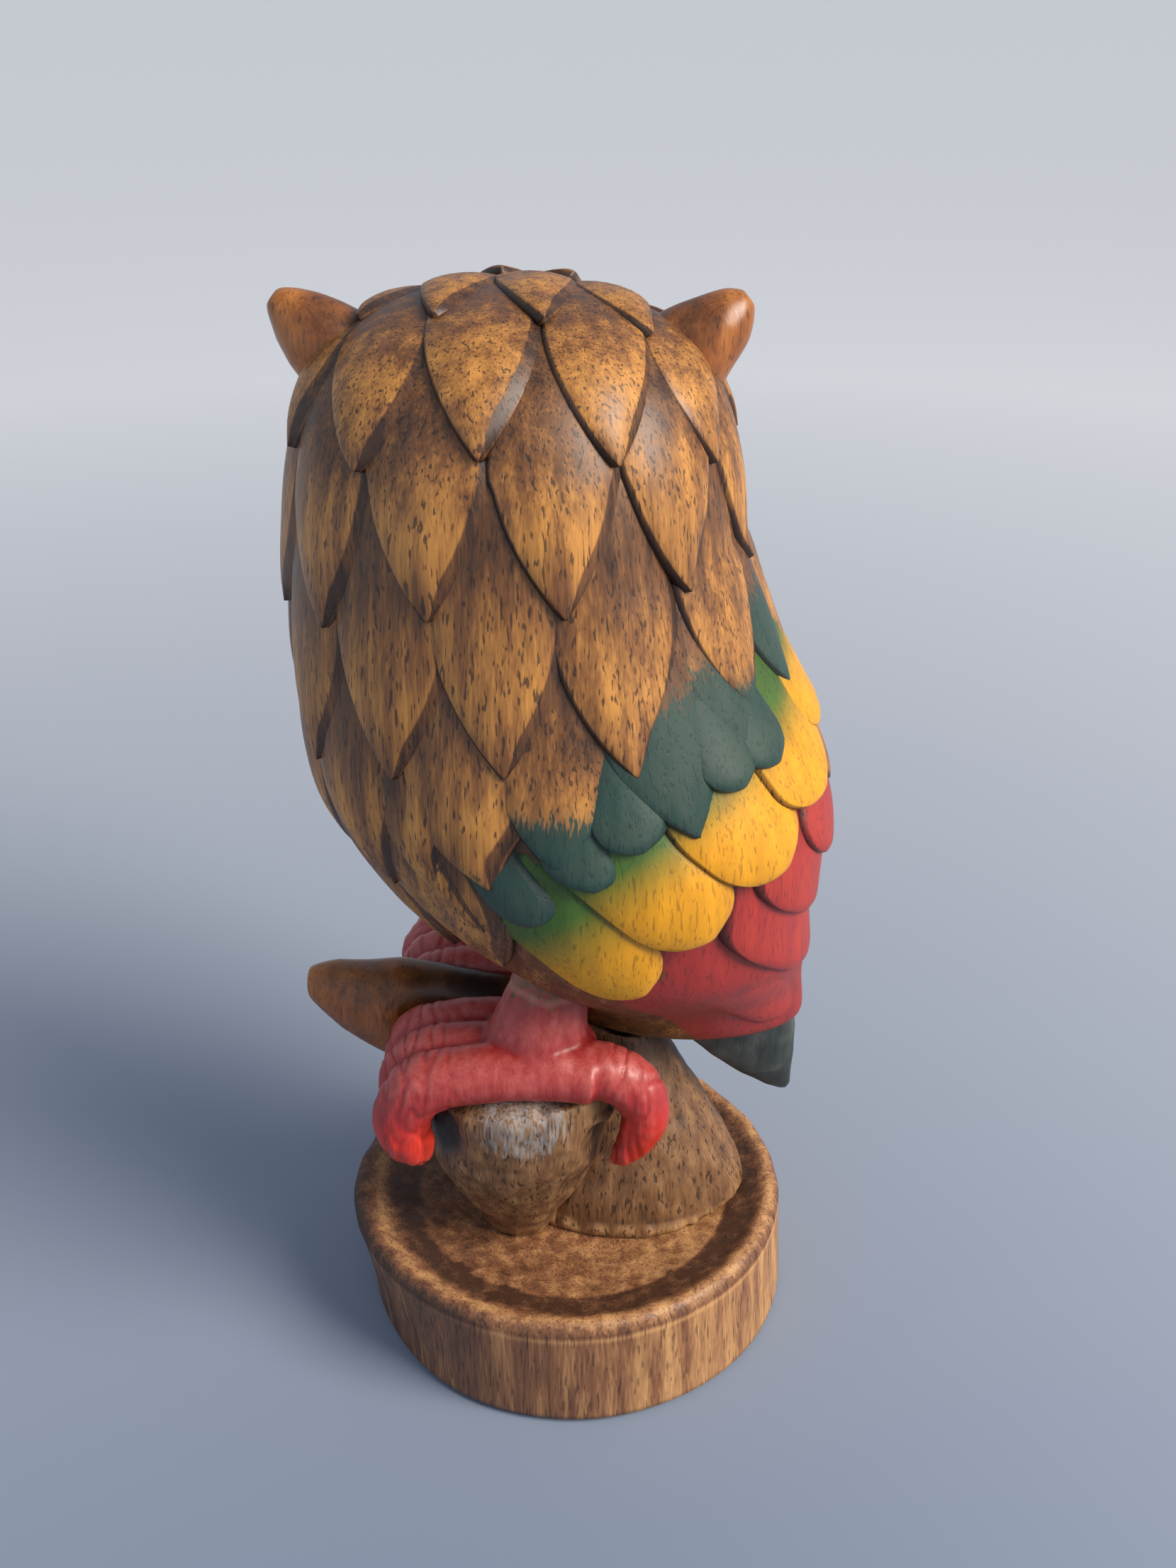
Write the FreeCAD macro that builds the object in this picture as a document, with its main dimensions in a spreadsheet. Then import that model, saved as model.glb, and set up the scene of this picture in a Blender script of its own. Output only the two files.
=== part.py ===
"""Carved and painted wooden owl on a stump, built as a parametric document.

Frame: +Z up, origin at the centre of the base's underside, +X the way the bird's
breast points, +Y the bird's left. The head is turned to look along -Y.
Every length is in millimetres, every angle in degrees.
"""
import FreeCAD, Part

import math
import os

import Sketcher
from FreeCAD import Placement, Rotation, Vector

doc = FreeCAD.newDocument("OwlFigurine")

# ---------------------------------------------------------------- driving sizes

SIZES = {
    # turned base
    "BaseFootRadius": 42.7,
    "BaseRimRadius": 41.4,
    "BaseRimHeight": 23.4,
    "BaseRimWidth": 3.6,
    "BaseEdgeRound": 1.6,
    "DishFloorHeight": 18.4,
    "DishFloorRadius": 20.0,
    # planes and places that several pieces share
    "MidPlane": -2.0,
    "FootSpread": 17.0,
    "LegForward": 6.0,
    "ToeHeight": 64.0,
    "TrunkForward": -8.0,
    # wings: the flat that each wing panel is glued to
    "WingPlaneOffset": 21.0,
    "WingPlaneHeight": 130.0,
    "WingPlaneLean": 13.5,
    "WingReach": 45.0,
    # branch stub: how far it stands off the mid plane, towards the bird's right
    "StubOffset": 2.5,
    # feet
    "LegLength": 22.0,
    "LegFootRadius": 8.0,
    "LegTopRadius": 6.4,
    "PalmHalfHeight": 6.2,
    "PalmHalfLength": 11.0,
    "PalmHalfWidth": 12.0,
    "ToePitch": 8.2,
    # hidden dowels and pins
    "BaseDowelRadius": 4.0,
    "BaseDowelStart": 8.0,
    "BaseDowelLength": 24.0,
    "TrunkDowelRadius": 2.5,
    "TrunkDowelOffset": 3.6,
    "TrunkDowelStart": 44.0,
    "TrunkDowelLength": 34.0,
    "LegDowelRadius": 2.2,
    "LegDowelDrop": 20.0,
    "LegDowelLength": 42.0,
    "TailDowelForward": -30.0,
    "TailDowelStart": 52.0,
    "TailDowelLength": 24.0,
    "PinRadius": 1.3,
    "PinLength": 16.0,
    # ear tufts: where their slanting lines start inside the head
    "TuftOut": 18.5,
    "TuftStartHeight": 179.5,
    "TuftLean": 48.0,
    "TuftOffset": 3.0,
    "TuftPinInset": 3.0,
    # head
    "HeadForward": 9.0,
    "FaceTurn": -75.0,
    "EyeSpread": 25.0,
    "EyeHeight": 170.0,
    "EyeRadius": 8.6,
    "EyeDepth": 4.6,
    "EyeReach": 33.6,
    "BeakHeight": 160.0,
    "BeakReach": 30.0,
    "BeakDrop": 38.0,
    "BeakRootRadius": 7.0,
    "BeakTipRadius": 1.0,
    "BeakLength": 17.0,
}

# Level cuts through the bird: height, forward centre, half width, half depth
BODY_CUTS = [
    (61.0, -26.0, 15.0, 4.5),
    (70.0, -18.5, 25.5, 15.5),
    (78.0, -15.0, 29.0, 23.0),
    (88.0, -10.5, 33.5, 32.0),
    (100.0, -5.5, 38.8, 37.0),
    (116.0, -0.5, 44.0, 40.0),
    (132.0, 4.0, 42.5, 38.5),
    (150.0, 7.5, 39.0, 36.5),
    (168.0, 9.0, 36.2, 35.5),
    (181.0, 9.0, 33.6, 33.0),
    (191.0, 9.0, 27.0, 26.5),
    (196.5, 9.0, 18.0, 17.5),
    (199.0, 9.0, 7.0, 6.8),
]

# Level cuts through the trunk: height, forward centre, half width, half depth
TRUNK_CUTS = [
    (14.0, -11.0, 24.5, 16.5),
    (26.0, -12.0, 21.5, 15.5),
    (36.0, -12.0, 17.0, 13.5),
    (45.0, -11.0, 13.5, 11.0),
    (54.0, -9.5, 10.0, 9.0),
    (66.0, -8.0, 9.0, 8.0),
]

# Level cuts through a perch knob: height, forward centre, half width, half depth,
# sideways place from the mid plane
KNOB_CUTS = [
    (14.0, 10.0, 5.0, 4.5, 9.0),
    (20.0, 10.5, 6.5, 5.5, 10.5),
    (32.0, 11.0, 12.0, 8.5, 13.5),
    (45.0, 10.5, 16.5, 11.0, 16.0),
    (60.0, 9.5, 18.0, 11.5, 16.5),
]

# Upright cuts through the branch stub: forward place, height, half height, half depth
STUB_CUTS = [
    (2.0, 54.0, 13.0, 7.0),
    (14.0, 56.0, 13.0, 7.2),
    (26.0, 59.0, 12.0, 7.4),
    (37.0, 62.0, 9.8, 7.0),
    (46.0, 65.5, 6.2, 5.4),
    (51.0, 67.6, 2.8, 2.6),
]

# Level cuts through the tail: height, forward centre, half width, half depth
TAIL_CUTS = [
    (68.0, -29.5, 13.0, 8.0),
    (60.0, -31.5, 11.5, 6.5),
    (52.0, -36.0, 6.5, 4.5),
    (44.5, -41.3, 1.2, 1.4),
]

# Cuts through an ear tuft, counted out along its own slanting line from inside the
# head: distance, half width, half depth
TUFT_CUTS = [
    (0.0, 9.5, 8.0),
    (8.0, 8.5, 7.2),
    (16.0, 6.6, 6.0),
    (22.0, 4.0, 3.8),
    (25.0, 1.6, 1.6),
]

# Front toe and hind toe: forward place, height over the toe line, radius, turn of
# the cut from upright
FRONT_TOE = [
    (4.0, 0.0, 6.4, 90.0),
    (22.0, 0.3, 6.2, 90.0),
    (30.5, -1.8, 5.6, 125.0),
    (33.6, -8.5, 4.3, 170.0),
    (31.6, -15.5, 1.6, 205.0),
]
HIND_TOE = [
    (6.0, 0.0, 6.4, -90.0),
    (-6.0, 0.2, 6.2, -90.0),
    (-12.6, -2.6, 5.4, -130.0),
    (-14.4, -9.5, 3.9, -175.0),
    (-11.0, -16.5, 1.5, -215.0),
]

# Wing pins: forward place, how far off the mid plane they start, height
WING_PINS = [(2.0, 13.0, 122.0), (-20.0, 8.0, 104.0)]

# The wing panel's outline, seen from the side, in the panel's own plane: forward
# place and height from WingPlaneHeight
WING_OUTLINE = [
    (30.0, -10.0),
    (14.0, -24.0),
    (5.0, -33.0),
    (-6.0, -41.0),
    (-15.0, -48.0),
    (-22.0, -57.0),
    (-29.0, -70.0),
    (-60.0, -80.0),
    (-60.0, 6.0),
    (-20.0, 13.0),
    (12.0, 12.0),
    (28.0, 6.0),
]

sheet = doc.addObject("Spreadsheet::Sheet", "Sizes")
sheet_row = 0


def put(alias, value):
    """Write one driving size into the next row of the sheet under its alias."""
    global sheet_row
    sheet_row += 1
    sheet.set("A%d" % sheet_row, alias)
    sheet.set("B%d" % sheet_row, str(value))
    sheet.setAlias("B%d" % sheet_row, alias)
    return "Sizes." + alias


def put_cuts(title, cuts, columns):
    """Write a list of cuts, and give back one dictionary of cell names per cut."""
    return [
        {column: put("%s_%s_%d" % (title, column, number), value)
         for column, value in zip(columns, cut)}
        for number, cut in enumerate(cuts, 1)
    ]


for alias, value in SIZES.items():
    put(alias, value)
doc.recompute()


# ---------------------------------------------------------------- small helpers

# A loft or peg has its seam on its forward side. The trunk's is turned to the back, the
# pegs' to one side, and the trunk dowel stands beside the bird's seam, so that no bore
# or seat crosses a seam.
QUARTER_TURN = Rotation(Vector(0, 0, 1), 90)
HALF_TURN = Rotation(Vector(0, 0, 1), 180)


def bind(item, **rules):
    """Bind properties to sheet formulas; a double underscore stands for a dot."""
    for name, rule in rules.items():
        item.setExpression(name.replace("__", "."), rule)
    return item


def place(item, x, y, z):
    """Bind an object's place to three sheet formulas."""
    return bind(item, Placement__Base__x=x, Placement__Base__y=y, Placement__Base__z=z)


def add(kind, name, **rules):
    """Add a Part object with bound properties."""
    return bind(doc.addObject(kind, name), **rules)


def turn(item, axis, angle):
    """Turn an object about an axis through its own origin."""
    item.Placement = Placement(item.Placement.Base, Rotation(axis, angle))
    return item


def fuse(name, shapes):
    """Join solids into one."""
    item = doc.addObject("Part::MultiFuse", name)
    item.Shapes = shapes
    item.Refine = False
    return item


def common(name, base, tool):
    """Keep what two solids share."""
    item = doc.addObject("Part::Common", name)
    item.Base, item.Tool = base, tool
    item.Refine = False
    return item


def cut(name, base, tools):
    """Take solids away from a base, one after another."""
    for number, tool in enumerate(tools, 1):
        item = doc.addObject("Part::Cut", "%s_cut_%d" % (name, number))
        item.Base, item.Tool = base, tool
        item.Refine = False
        base = item
    return base


def oval(name, half_x, half_y, x, y, z, rotation=None):
    """An ellipse whose two half axes and place are sheet formulas.

    Part::Ellipse wants the longer axis first, so a cut that is deeper than it is
    wide is drawn turned by a quarter.
    """
    ring = doc.addObject("Part::Ellipse", name)
    wide = sheet.get(half_x.split(".")[1]) >= sheet.get(half_y.split(".")[1])
    bind(ring, MajorRadius=half_x if wide else half_y, MinorRadius=half_y if wide else half_x)
    own_turn = Rotation(Vector(0, 0, 1), 0 if wide else 90)
    ring.Placement = Placement(Vector(), (rotation or Rotation()).multiply(own_turn))
    return place(ring, x, y, z)


def loft(name, rings, straight=False):
    """A closed solid through a row of rings, smooth or straight between them."""
    item = doc.addObject("Part::Loft", name)
    item.Sections = rings
    item.Solid = True
    item.Ruled = straight
    item.MaxDegree = 3
    return item


def side(sign, distance):
    """The sheet formula of a place that lies to one side of the mid plane."""
    return "Sizes.MidPlane %s %s" % ("+" if sign > 0 else "-", distance)


def level_loft(title, cells, sign=0, rotation=None):
    """A loft through level cuts, on the mid plane or to one side of it."""
    rings = []
    for number, cell in enumerate(cells, 1):
        y = side(sign, cell["Side"]) if sign else "Sizes.MidPlane"
        rings.append(oval("%s_ring_%d" % (title, number), cell["Half"], cell["Deep"],
                          cell["Forward"], y, cell["Height"], rotation))
    return loft(title, rings)


def peg(name, radius, length, x, y, z, axis=Vector(0, 0, 1)):
    """A round peg that starts at a point and runs along an axis."""
    item = add("Part::Cylinder", name, Radius=radius, Height=length)
    item.Placement = Placement(Vector(), Rotation(Vector(0, 0, 1), axis).multiply(QUARTER_TURN))
    return place(item, x, y, z)


# ---------------------------------------------------------------- base

def origin_plane(body, role):
    """The body's own origin plane with the given role."""
    return next(f for f in body.Origin.OriginFeatures if f.Role == role)


def turned_base():
    """The dished slab, turned from one upright-grain block."""
    body = doc.addObject("PartDesign::Body", "BaseBlank")
    sketch = body.newObject("Sketcher::SketchObject", "BaseProfile")
    sketch.AttachmentSupport = (origin_plane(body, "XZ_Plane"), "")
    sketch.MapMode = "FlatFace"
    size = SIZES
    rim_inner = size["BaseRimRadius"] - size["BaseRimWidth"]
    corners = [
        (0.0, 0.0),
        (size["BaseFootRadius"], 0.0),
        (size["BaseRimRadius"], size["BaseRimHeight"] - size["BaseEdgeRound"]),
        (size["BaseRimRadius"] - size["BaseEdgeRound"], size["BaseRimHeight"]),
        (rim_inner, size["BaseRimHeight"]),
        (size["DishFloorRadius"], size["DishFloorHeight"]),
        (0.0, size["DishFloorHeight"]),
    ]
    for start, end in zip(corners, corners[1:] + corners[:1]):
        sketch.addGeometry(Part.LineSegment(Vector(*start, 0), Vector(*end, 0)))
    count = len(corners)
    for edge in range(count):
        sketch.addConstraint(Sketcher.Constraint("Coincident", edge, 2, (edge + 1) % count, 1))
    sketch.addConstraint(Sketcher.Constraint("Coincident", 0, 1, -1, 1))
    rules = {
        1: ("Sizes.BaseFootRadius", None),
        2: ("Sizes.BaseRimRadius", "Sizes.BaseRimHeight - Sizes.BaseEdgeRound"),
        3: ("Sizes.BaseRimRadius - Sizes.BaseEdgeRound", "Sizes.BaseRimHeight"),
        4: ("Sizes.BaseRimRadius - Sizes.BaseRimWidth", "Sizes.BaseRimHeight"),
        5: ("Sizes.DishFloorRadius", "Sizes.DishFloorHeight"),
        6: (None, "Sizes.DishFloorHeight"),
    }
    sketch.addConstraint(Sketcher.Constraint("Horizontal", 0))
    sketch.addConstraint(Sketcher.Constraint("Vertical", count - 1))
    for corner, formulas in rules.items():
        for kind, formula, value in zip(("DistanceX", "DistanceY"), formulas, corners[corner]):
            if formula:
                index = sketch.addConstraint(
                    Sketcher.Constraint(kind, -1, 1, corner, 1, value))
                sketch.setExpression("Constraints[%d]" % index, formula)
    spin = body.newObject("PartDesign::Revolution", "BaseTurning")
    spin.Profile = sketch
    spin.ReferenceAxis = (sketch, ["V_Axis"])
    spin.Angle = 360
    return body


# ---------------------------------------------------------------- bird

LEVEL = ("Height", "Forward", "Half", "Deep")
body_cells = put_cuts("Body", BODY_CUTS, LEVEL)
trunk_cells = put_cuts("Trunk", TRUNK_CUTS, LEVEL)
knob_cells = put_cuts("Knob", KNOB_CUTS, LEVEL + ("Side",))
tail_cells = put_cuts("Tail", TAIL_CUTS, LEVEL)
stub_cells = put_cuts("Stub", STUB_CUTS, ("Forward", "Height", "Half", "Deep"))
tuft_cells = put_cuts("Tuft", TUFT_CUTS, ("Out", "Half", "Deep"))
toe_cells = {
    "FrontToe": put_cuts("FrontToe", FRONT_TOE, ("Forward", "Rise", "Radius")),
    "HindToe": put_cuts("HindToe", HIND_TOE, ("Forward", "Rise", "Radius")),
}
toe_turns = {"FrontToe": FRONT_TOE, "HindToe": HIND_TOE}
doc.recompute()


def wing_zone(name, sign):
    """The prism that takes a wing panel out of the bird's side.

    Its flat leans, so the panel is thick at the shoulder and reaches down to the
    mid plane at the tail.
    """
    sketch = doc.addObject("Sketcher::SketchObject", name + "_outline")
    points = [Vector(x, z, 0) for x, z in WING_OUTLINE]
    for start, end in zip(points, points[1:] + points[:1]):
        sketch.addGeometry(Part.LineSegment(start, end))
    prism = doc.addObject("Part::Extrusion", name)
    prism.Base = sketch
    prism.DirMode = "Custom"
    prism.Dir = Vector(0, 0, -1)
    prism.Solid = True
    prism.Reversed = sign < 0
    bind(prism, LengthFwd="Sizes.WingReach")
    upright = Rotation(Vector(1, 0, 0), 90)
    lean = Rotation(Vector(1, 0, 0), -sign * SIZES["WingPlaneLean"])
    prism.Placement = Placement(Vector(), lean.multiply(upright))
    return place(prism, "0", side(sign, "Sizes.WingPlaneOffset"), "Sizes.WingPlaneHeight")


def tuft_point(sign, distance):
    """The three place formulas of a point on a tuft's slanting line."""
    return ("Sizes.HeadForward + %d * (Sizes.TuftOut + %s * sin(Sizes.TuftLean * 1 deg))"
            % (sign, distance),
            "Sizes.MidPlane - Sizes.TuftOffset",
            "Sizes.TuftStartHeight + %s * cos(Sizes.TuftLean * 1 deg)" % distance)


def ear_tuft(name, sign):
    """A slanting horn whose thick end is buried in the crown."""
    tilt = Rotation(Vector(0, 1, 0), sign * SIZES["TuftLean"])
    return loft(name, [
        oval("%s_ring_%d" % (name, number), cell["Half"], cell["Deep"],
             *tuft_point(sign, cell["Out"]), tilt)
        for number, cell in enumerate(tuft_cells, 1)
    ])


def toe(name, kind, y):
    """One toe: a bent tapering limb in an upright plane."""
    rings = []
    for number, (cell, station) in enumerate(zip(toe_cells[kind], toe_turns[kind]), 1):
        ring = doc.addObject("Part::Circle", "%s_ring_%d" % (name, number))
        bind(ring, Radius=cell["Radius"])
        turn(ring, Vector(0, 1, 0), station[3])
        rings.append(place(ring, cell["Forward"], y, "Sizes.ToeHeight + " + cell["Rise"]))
    return loft(name, rings, straight=True)


def ball(name, half_height, half_length, half_width):
    """A whole ellipsoid, with its first half axis upright."""
    item = add("Part::Ellipsoid", name, Radius1=half_height, Radius2=half_length,
               Radius3=half_width)
    item.Angle1, item.Angle2, item.Angle3 = -90, 90, 360
    return item


def foot(name, sign):
    """A foot: a leg, three toes forward and one toe back."""
    centre = side(sign, "Sizes.FootSpread")
    parts = [
        toe("%s_toe_%d" % (name, step + 2), "FrontToe", "%s + %d * Sizes.ToePitch" % (centre, step))
        for step in (-1, 0, 1)
    ]
    parts.append(toe(name + "_hind_toe", "HindToe", centre))
    leg = add("Part::Cone", name + "_leg", Height="Sizes.LegLength",
              Radius1="Sizes.LegFootRadius", Radius2="Sizes.LegTopRadius")
    palm = ball(name + "_palm", "Sizes.PalmHalfHeight", "Sizes.PalmHalfLength",
                "Sizes.PalmHalfWidth")
    parts += [place(item, "Sizes.LegForward", centre, "Sizes.ToeHeight") for item in (leg, palm)]
    return fuse(name, parts)


def on_face(angle_formula, reach, height, item):
    """Place an object on the head at an angle round its upright axis."""
    return place(item,
                 "Sizes.HeadForward + %s * cos(%s * 1 deg)" % (reach, angle_formula),
                 "Sizes.MidPlane + %s * sin(%s * 1 deg)" % (reach, angle_formula), height)


def eye(name, sign):
    """A flattened ball set into its socket, facing out."""
    eyeball = ball(name, "Sizes.EyeDepth", "Sizes.EyeRadius", "Sizes.EyeRadius")
    angle = SIZES["FaceTurn"] + sign * SIZES["EyeSpread"]
    outward = Vector(math.cos(math.radians(angle)), math.sin(math.radians(angle)), 0)
    eyeball.Placement = Placement(Vector(), Rotation(Vector(0, 0, 1), outward))
    formula = "(Sizes.FaceTurn %s Sizes.EyeSpread)" % ("+" if sign > 0 else "-")
    return on_face(formula, "Sizes.EyeReach", "Sizes.EyeHeight", eyeball)


def beak_blank():
    """A cone whose tip points out of the face and down."""
    cone = add("Part::Cone", "beak_blank", Radius1="Sizes.BeakRootRadius",
               Radius2="Sizes.BeakTipRadius", Height="Sizes.BeakLength")
    angle = math.radians(SIZES["FaceTurn"])
    drop = math.radians(SIZES["BeakDrop"])
    aim = Vector(math.cos(angle) * math.cos(drop), math.sin(angle) * math.cos(drop),
                 -math.sin(drop))
    cone.Placement = Placement(Vector(), Rotation(Vector(0, 0, 1), aim))
    return on_face("Sizes.FaceTurn", "Sizes.BeakReach", "Sizes.BeakHeight", cone)


bird = level_loft("bird_blank", body_cells)
zones = {"left": wing_zone("left_wing_zone", 1), "right": wing_zone("right_wing_zone", -1)}
wings = {name: common(name + "_wing_blank", bird, zone) for name, zone in zones.items()}
feet = {"left": foot("left_foot_blank", 1), "right": foot("right_foot_blank", -1)}
tufts = {"left": ear_tuft("left_tuft_blank", 1), "right": ear_tuft("right_tuft_blank", -1)}
eyes = {"left": eye("left_eye_blank", 1), "right": eye("right_eye_blank", -1)}
beak = beak_blank()
tail = level_loft("tail_blank", tail_cells)

# ---------------------------------------------------------------- stump

base = turned_base()
trunk = level_loft("trunk", trunk_cells, rotation=HALF_TURN)
knobs = {
    "left": level_loft("left_knob_blank", knob_cells, 1),
    "right": level_loft("right_knob_blank", knob_cells, -1),
}


def branch_stub():
    """The horn-shaped branch end that points forward between the feet."""
    rings = []
    for number, cell in enumerate(stub_cells, 1):
        rings.append(oval("stub_ring_%d" % number, cell["Half"], cell["Deep"], cell["Forward"],
                          "Sizes.MidPlane - Sizes.StubOffset", cell["Height"],
                          Rotation(Vector(0, 1, 0), 90)))
    return loft("stub_blank", rings)


stub = branch_stub()

# ---------------------------------------------------------------- dowels and pins

def tuft_pin(sign):
    """The pin along the middle of an ear tuft."""
    lean = math.radians(SIZES["TuftLean"])
    return peg("tuft_pin_%d" % (sign + 2), "Sizes.PinRadius", "Sizes.PinLength",
               *tuft_point(sign, "Sizes.TuftPinInset"),
               Vector(sign * math.sin(lean), 0, math.cos(lean)))


def wing_pin(sign, number, forward, offset, height):
    """A pin across the joint between the body and a wing panel."""
    return peg("wing_pin_%d_%d" % (sign + 2, number), "Sizes.PinRadius", "Sizes.PinLength",
               put("WingPin_Forward_%d_%d" % (sign + 2, number), forward),
               side(sign, put("WingPin_Offset_%d_%d" % (sign + 2, number), offset)),
               put("WingPin_Height_%d_%d" % (sign + 2, number), height), Vector(0, sign, 0))


SIDES = {"left": 1, "right": -1}
base_dowel = peg("base_dowel_peg", "Sizes.BaseDowelRadius", "Sizes.BaseDowelLength",
                 "Sizes.TrunkForward", "Sizes.MidPlane", "Sizes.BaseDowelStart")
trunk_dowel = peg("trunk_dowel_peg", "Sizes.TrunkDowelRadius", "Sizes.TrunkDowelLength",
                  "Sizes.TrunkForward", side(1, "Sizes.TrunkDowelOffset"),
                  "Sizes.TrunkDowelStart")
leg_dowels = {
    name: peg(name + "_leg_dowel_peg", "Sizes.LegDowelRadius", "Sizes.LegDowelLength",
              "Sizes.LegForward", side(sign, "Sizes.FootSpread"),
              "Sizes.ToeHeight - Sizes.LegDowelDrop")
    for name, sign in SIDES.items()
}
tail_dowel = peg("tail_dowel_peg", "Sizes.LegDowelRadius", "Sizes.TailDowelLength",
                 "Sizes.TailDowelForward", "Sizes.MidPlane", "Sizes.TailDowelStart")
tuft_pins = fuse("tuft_pins", [tuft_pin(sign) for sign in SIDES.values()])
wing_pins = fuse("wing_pins", [
    wing_pin(sign, number, *spot)
    for sign in SIDES.values()
    for number, spot in enumerate(WING_PINS, 1)
])

# ---------------------------------------------------------------- seats and bores

both_leg_dowels = list(leg_dowels.values())
both_feet = list(feet.values())
finished = {
    "base": cut("base", base, [base_dowel]),
    "stump": cut("stump", trunk, [trunk_dowel, base_dowel, stub] + both_feet + [bird, base]),
    "branch_stub": cut("branch_stub", stub, [trunk_dowel] + both_feet + [bird]),
    "body": cut("body", bird, list(zones.values()) + both_feet + list(tufts.values())
                + [beak] + list(eyes.values())
                + [trunk_dowel, tail_dowel, tuft_pins, wing_pins] + both_leg_dowels),
    "tail": cut("tail", tail, [bird, tail_dowel]),
    "beak": beak,
    "base_dowel": base_dowel,
    "trunk_dowel": trunk_dowel,
    "tail_dowel": tail_dowel,
    "ear_tuft_pins": tuft_pins,
    "wing_pins": wing_pins,
}
for name in SIDES:
    finished.update({
        name + "_perch_knob": cut(name + "_perch_knob", knobs[name],
                                  [leg_dowels[name], stub, trunk, feet[name], base]),
        name + "_foot": cut(name + "_foot", feet[name], [leg_dowels[name]]),
        name + "_leg_dowel": leg_dowels[name],
        name + "_wing": cut(name + "_wing", wings[name], [wing_pins]),
        name + "_ear_tuft": cut(name + "_ear_tuft", tufts[name], [tuft_pins]),
        name + "_eye": cut(name + "_eye", eyes[name], [beak]),
    })
for node, item in finished.items():
    item.Label = node

doc.recompute()
for item in doc.Objects:
    if {"Invalid", "Error"} & set(item.State):
        raise RuntimeError("%s did not build: %s" % (item.Name, item.State))
os.makedirs("parts", exist_ok=True)
for node, item in finished.items():
    shape = item.Shape
    if shape.isNull() or not shape.isValid() or not shape.Solids:
        raise RuntimeError("%s has no valid solid" % node)
for node, item in finished.items():
    item.Shape.exportStep("parts/%s.step" % node)
    print("%-16s %d solid(s) %9.1f mm3  valid" % (node, len(item.Shape.Solids), item.Shape.Volume))
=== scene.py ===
"""Visible model of a carved and painted wooden owl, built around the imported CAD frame.

Lengths in the classes are millimetres, turned to metres when a mesh is made. The bird's
skin is read from the CAD solids; feathers, toes, bark and tool marks are laid over it.
"""
import logging
import math
from dataclasses import dataclass, field, replace
from enum import Enum
from typing import Iterable, Sequence

import bpy
import numpy as np
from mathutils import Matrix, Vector, noise
from mathutils.bvhtree import BVHTree


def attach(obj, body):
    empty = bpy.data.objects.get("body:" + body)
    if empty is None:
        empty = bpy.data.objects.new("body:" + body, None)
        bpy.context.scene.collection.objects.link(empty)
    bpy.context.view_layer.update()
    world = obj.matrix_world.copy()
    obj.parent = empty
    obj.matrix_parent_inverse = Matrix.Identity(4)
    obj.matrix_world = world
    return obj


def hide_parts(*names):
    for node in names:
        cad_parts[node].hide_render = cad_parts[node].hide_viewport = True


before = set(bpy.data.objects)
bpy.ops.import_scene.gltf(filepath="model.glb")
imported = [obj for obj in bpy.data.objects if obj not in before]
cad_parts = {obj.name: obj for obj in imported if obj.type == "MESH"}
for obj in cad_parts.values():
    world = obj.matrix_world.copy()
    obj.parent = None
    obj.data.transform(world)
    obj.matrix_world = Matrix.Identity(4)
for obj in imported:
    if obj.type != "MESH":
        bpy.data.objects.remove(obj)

LOG = logging.getLogger("owl")
MM = 0.001
ROOT = "root"
MID_SIDE = -2.0     # the bird's middle plane, across the base
FACE_TURN = -75.0   # where the turned head looks, in degrees round the bird


# ------------------------------------------------------------------ colours and shaders

def linear(hex_colour: str) -> tuple[float, float, float, float]:
    """Turn an sRGB hex colour to linear light.

    Args:
        hex_colour: six hex digits, with or without a leading hash.

    Returns:
        Red, green, blue and a full alpha.
    """
    digits = hex_colour.lstrip("#")
    parts = [int(digits[i:i + 2], 16) / 255 for i in (0, 2, 4)]
    curve = [c / 12.92 if c <= 0.04045 else ((c + 0.055) / 1.055) ** 2.4 for c in parts]
    return (curve[0], curve[1], curve[2], 1.0)


def add_node(tree: bpy.types.NodeTree, kind: str, settings: dict | None = None,
             values: dict | None = None, links: dict | None = None) -> bpy.types.Node:
    """Add one node with its settings, socket values and incoming links.

    Args:
        tree: the node tree.
        kind: the node's type name.
        settings: the node's own properties.
        values: input sockets, by name or index, and the constants they hold.
        links: input sockets, by name or index, and the output sockets that feed them.

    Returns:
        The new node.
    """
    node = tree.nodes.new(kind)
    for key, value in (settings or {}).items():
        setattr(node, key, value)
    for key, value in (values or {}).items():
        node.inputs[key].default_value = value
    for key, socket in (links or {}).items():
        tree.links.new(socket, node.inputs[key])
    return node


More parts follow.
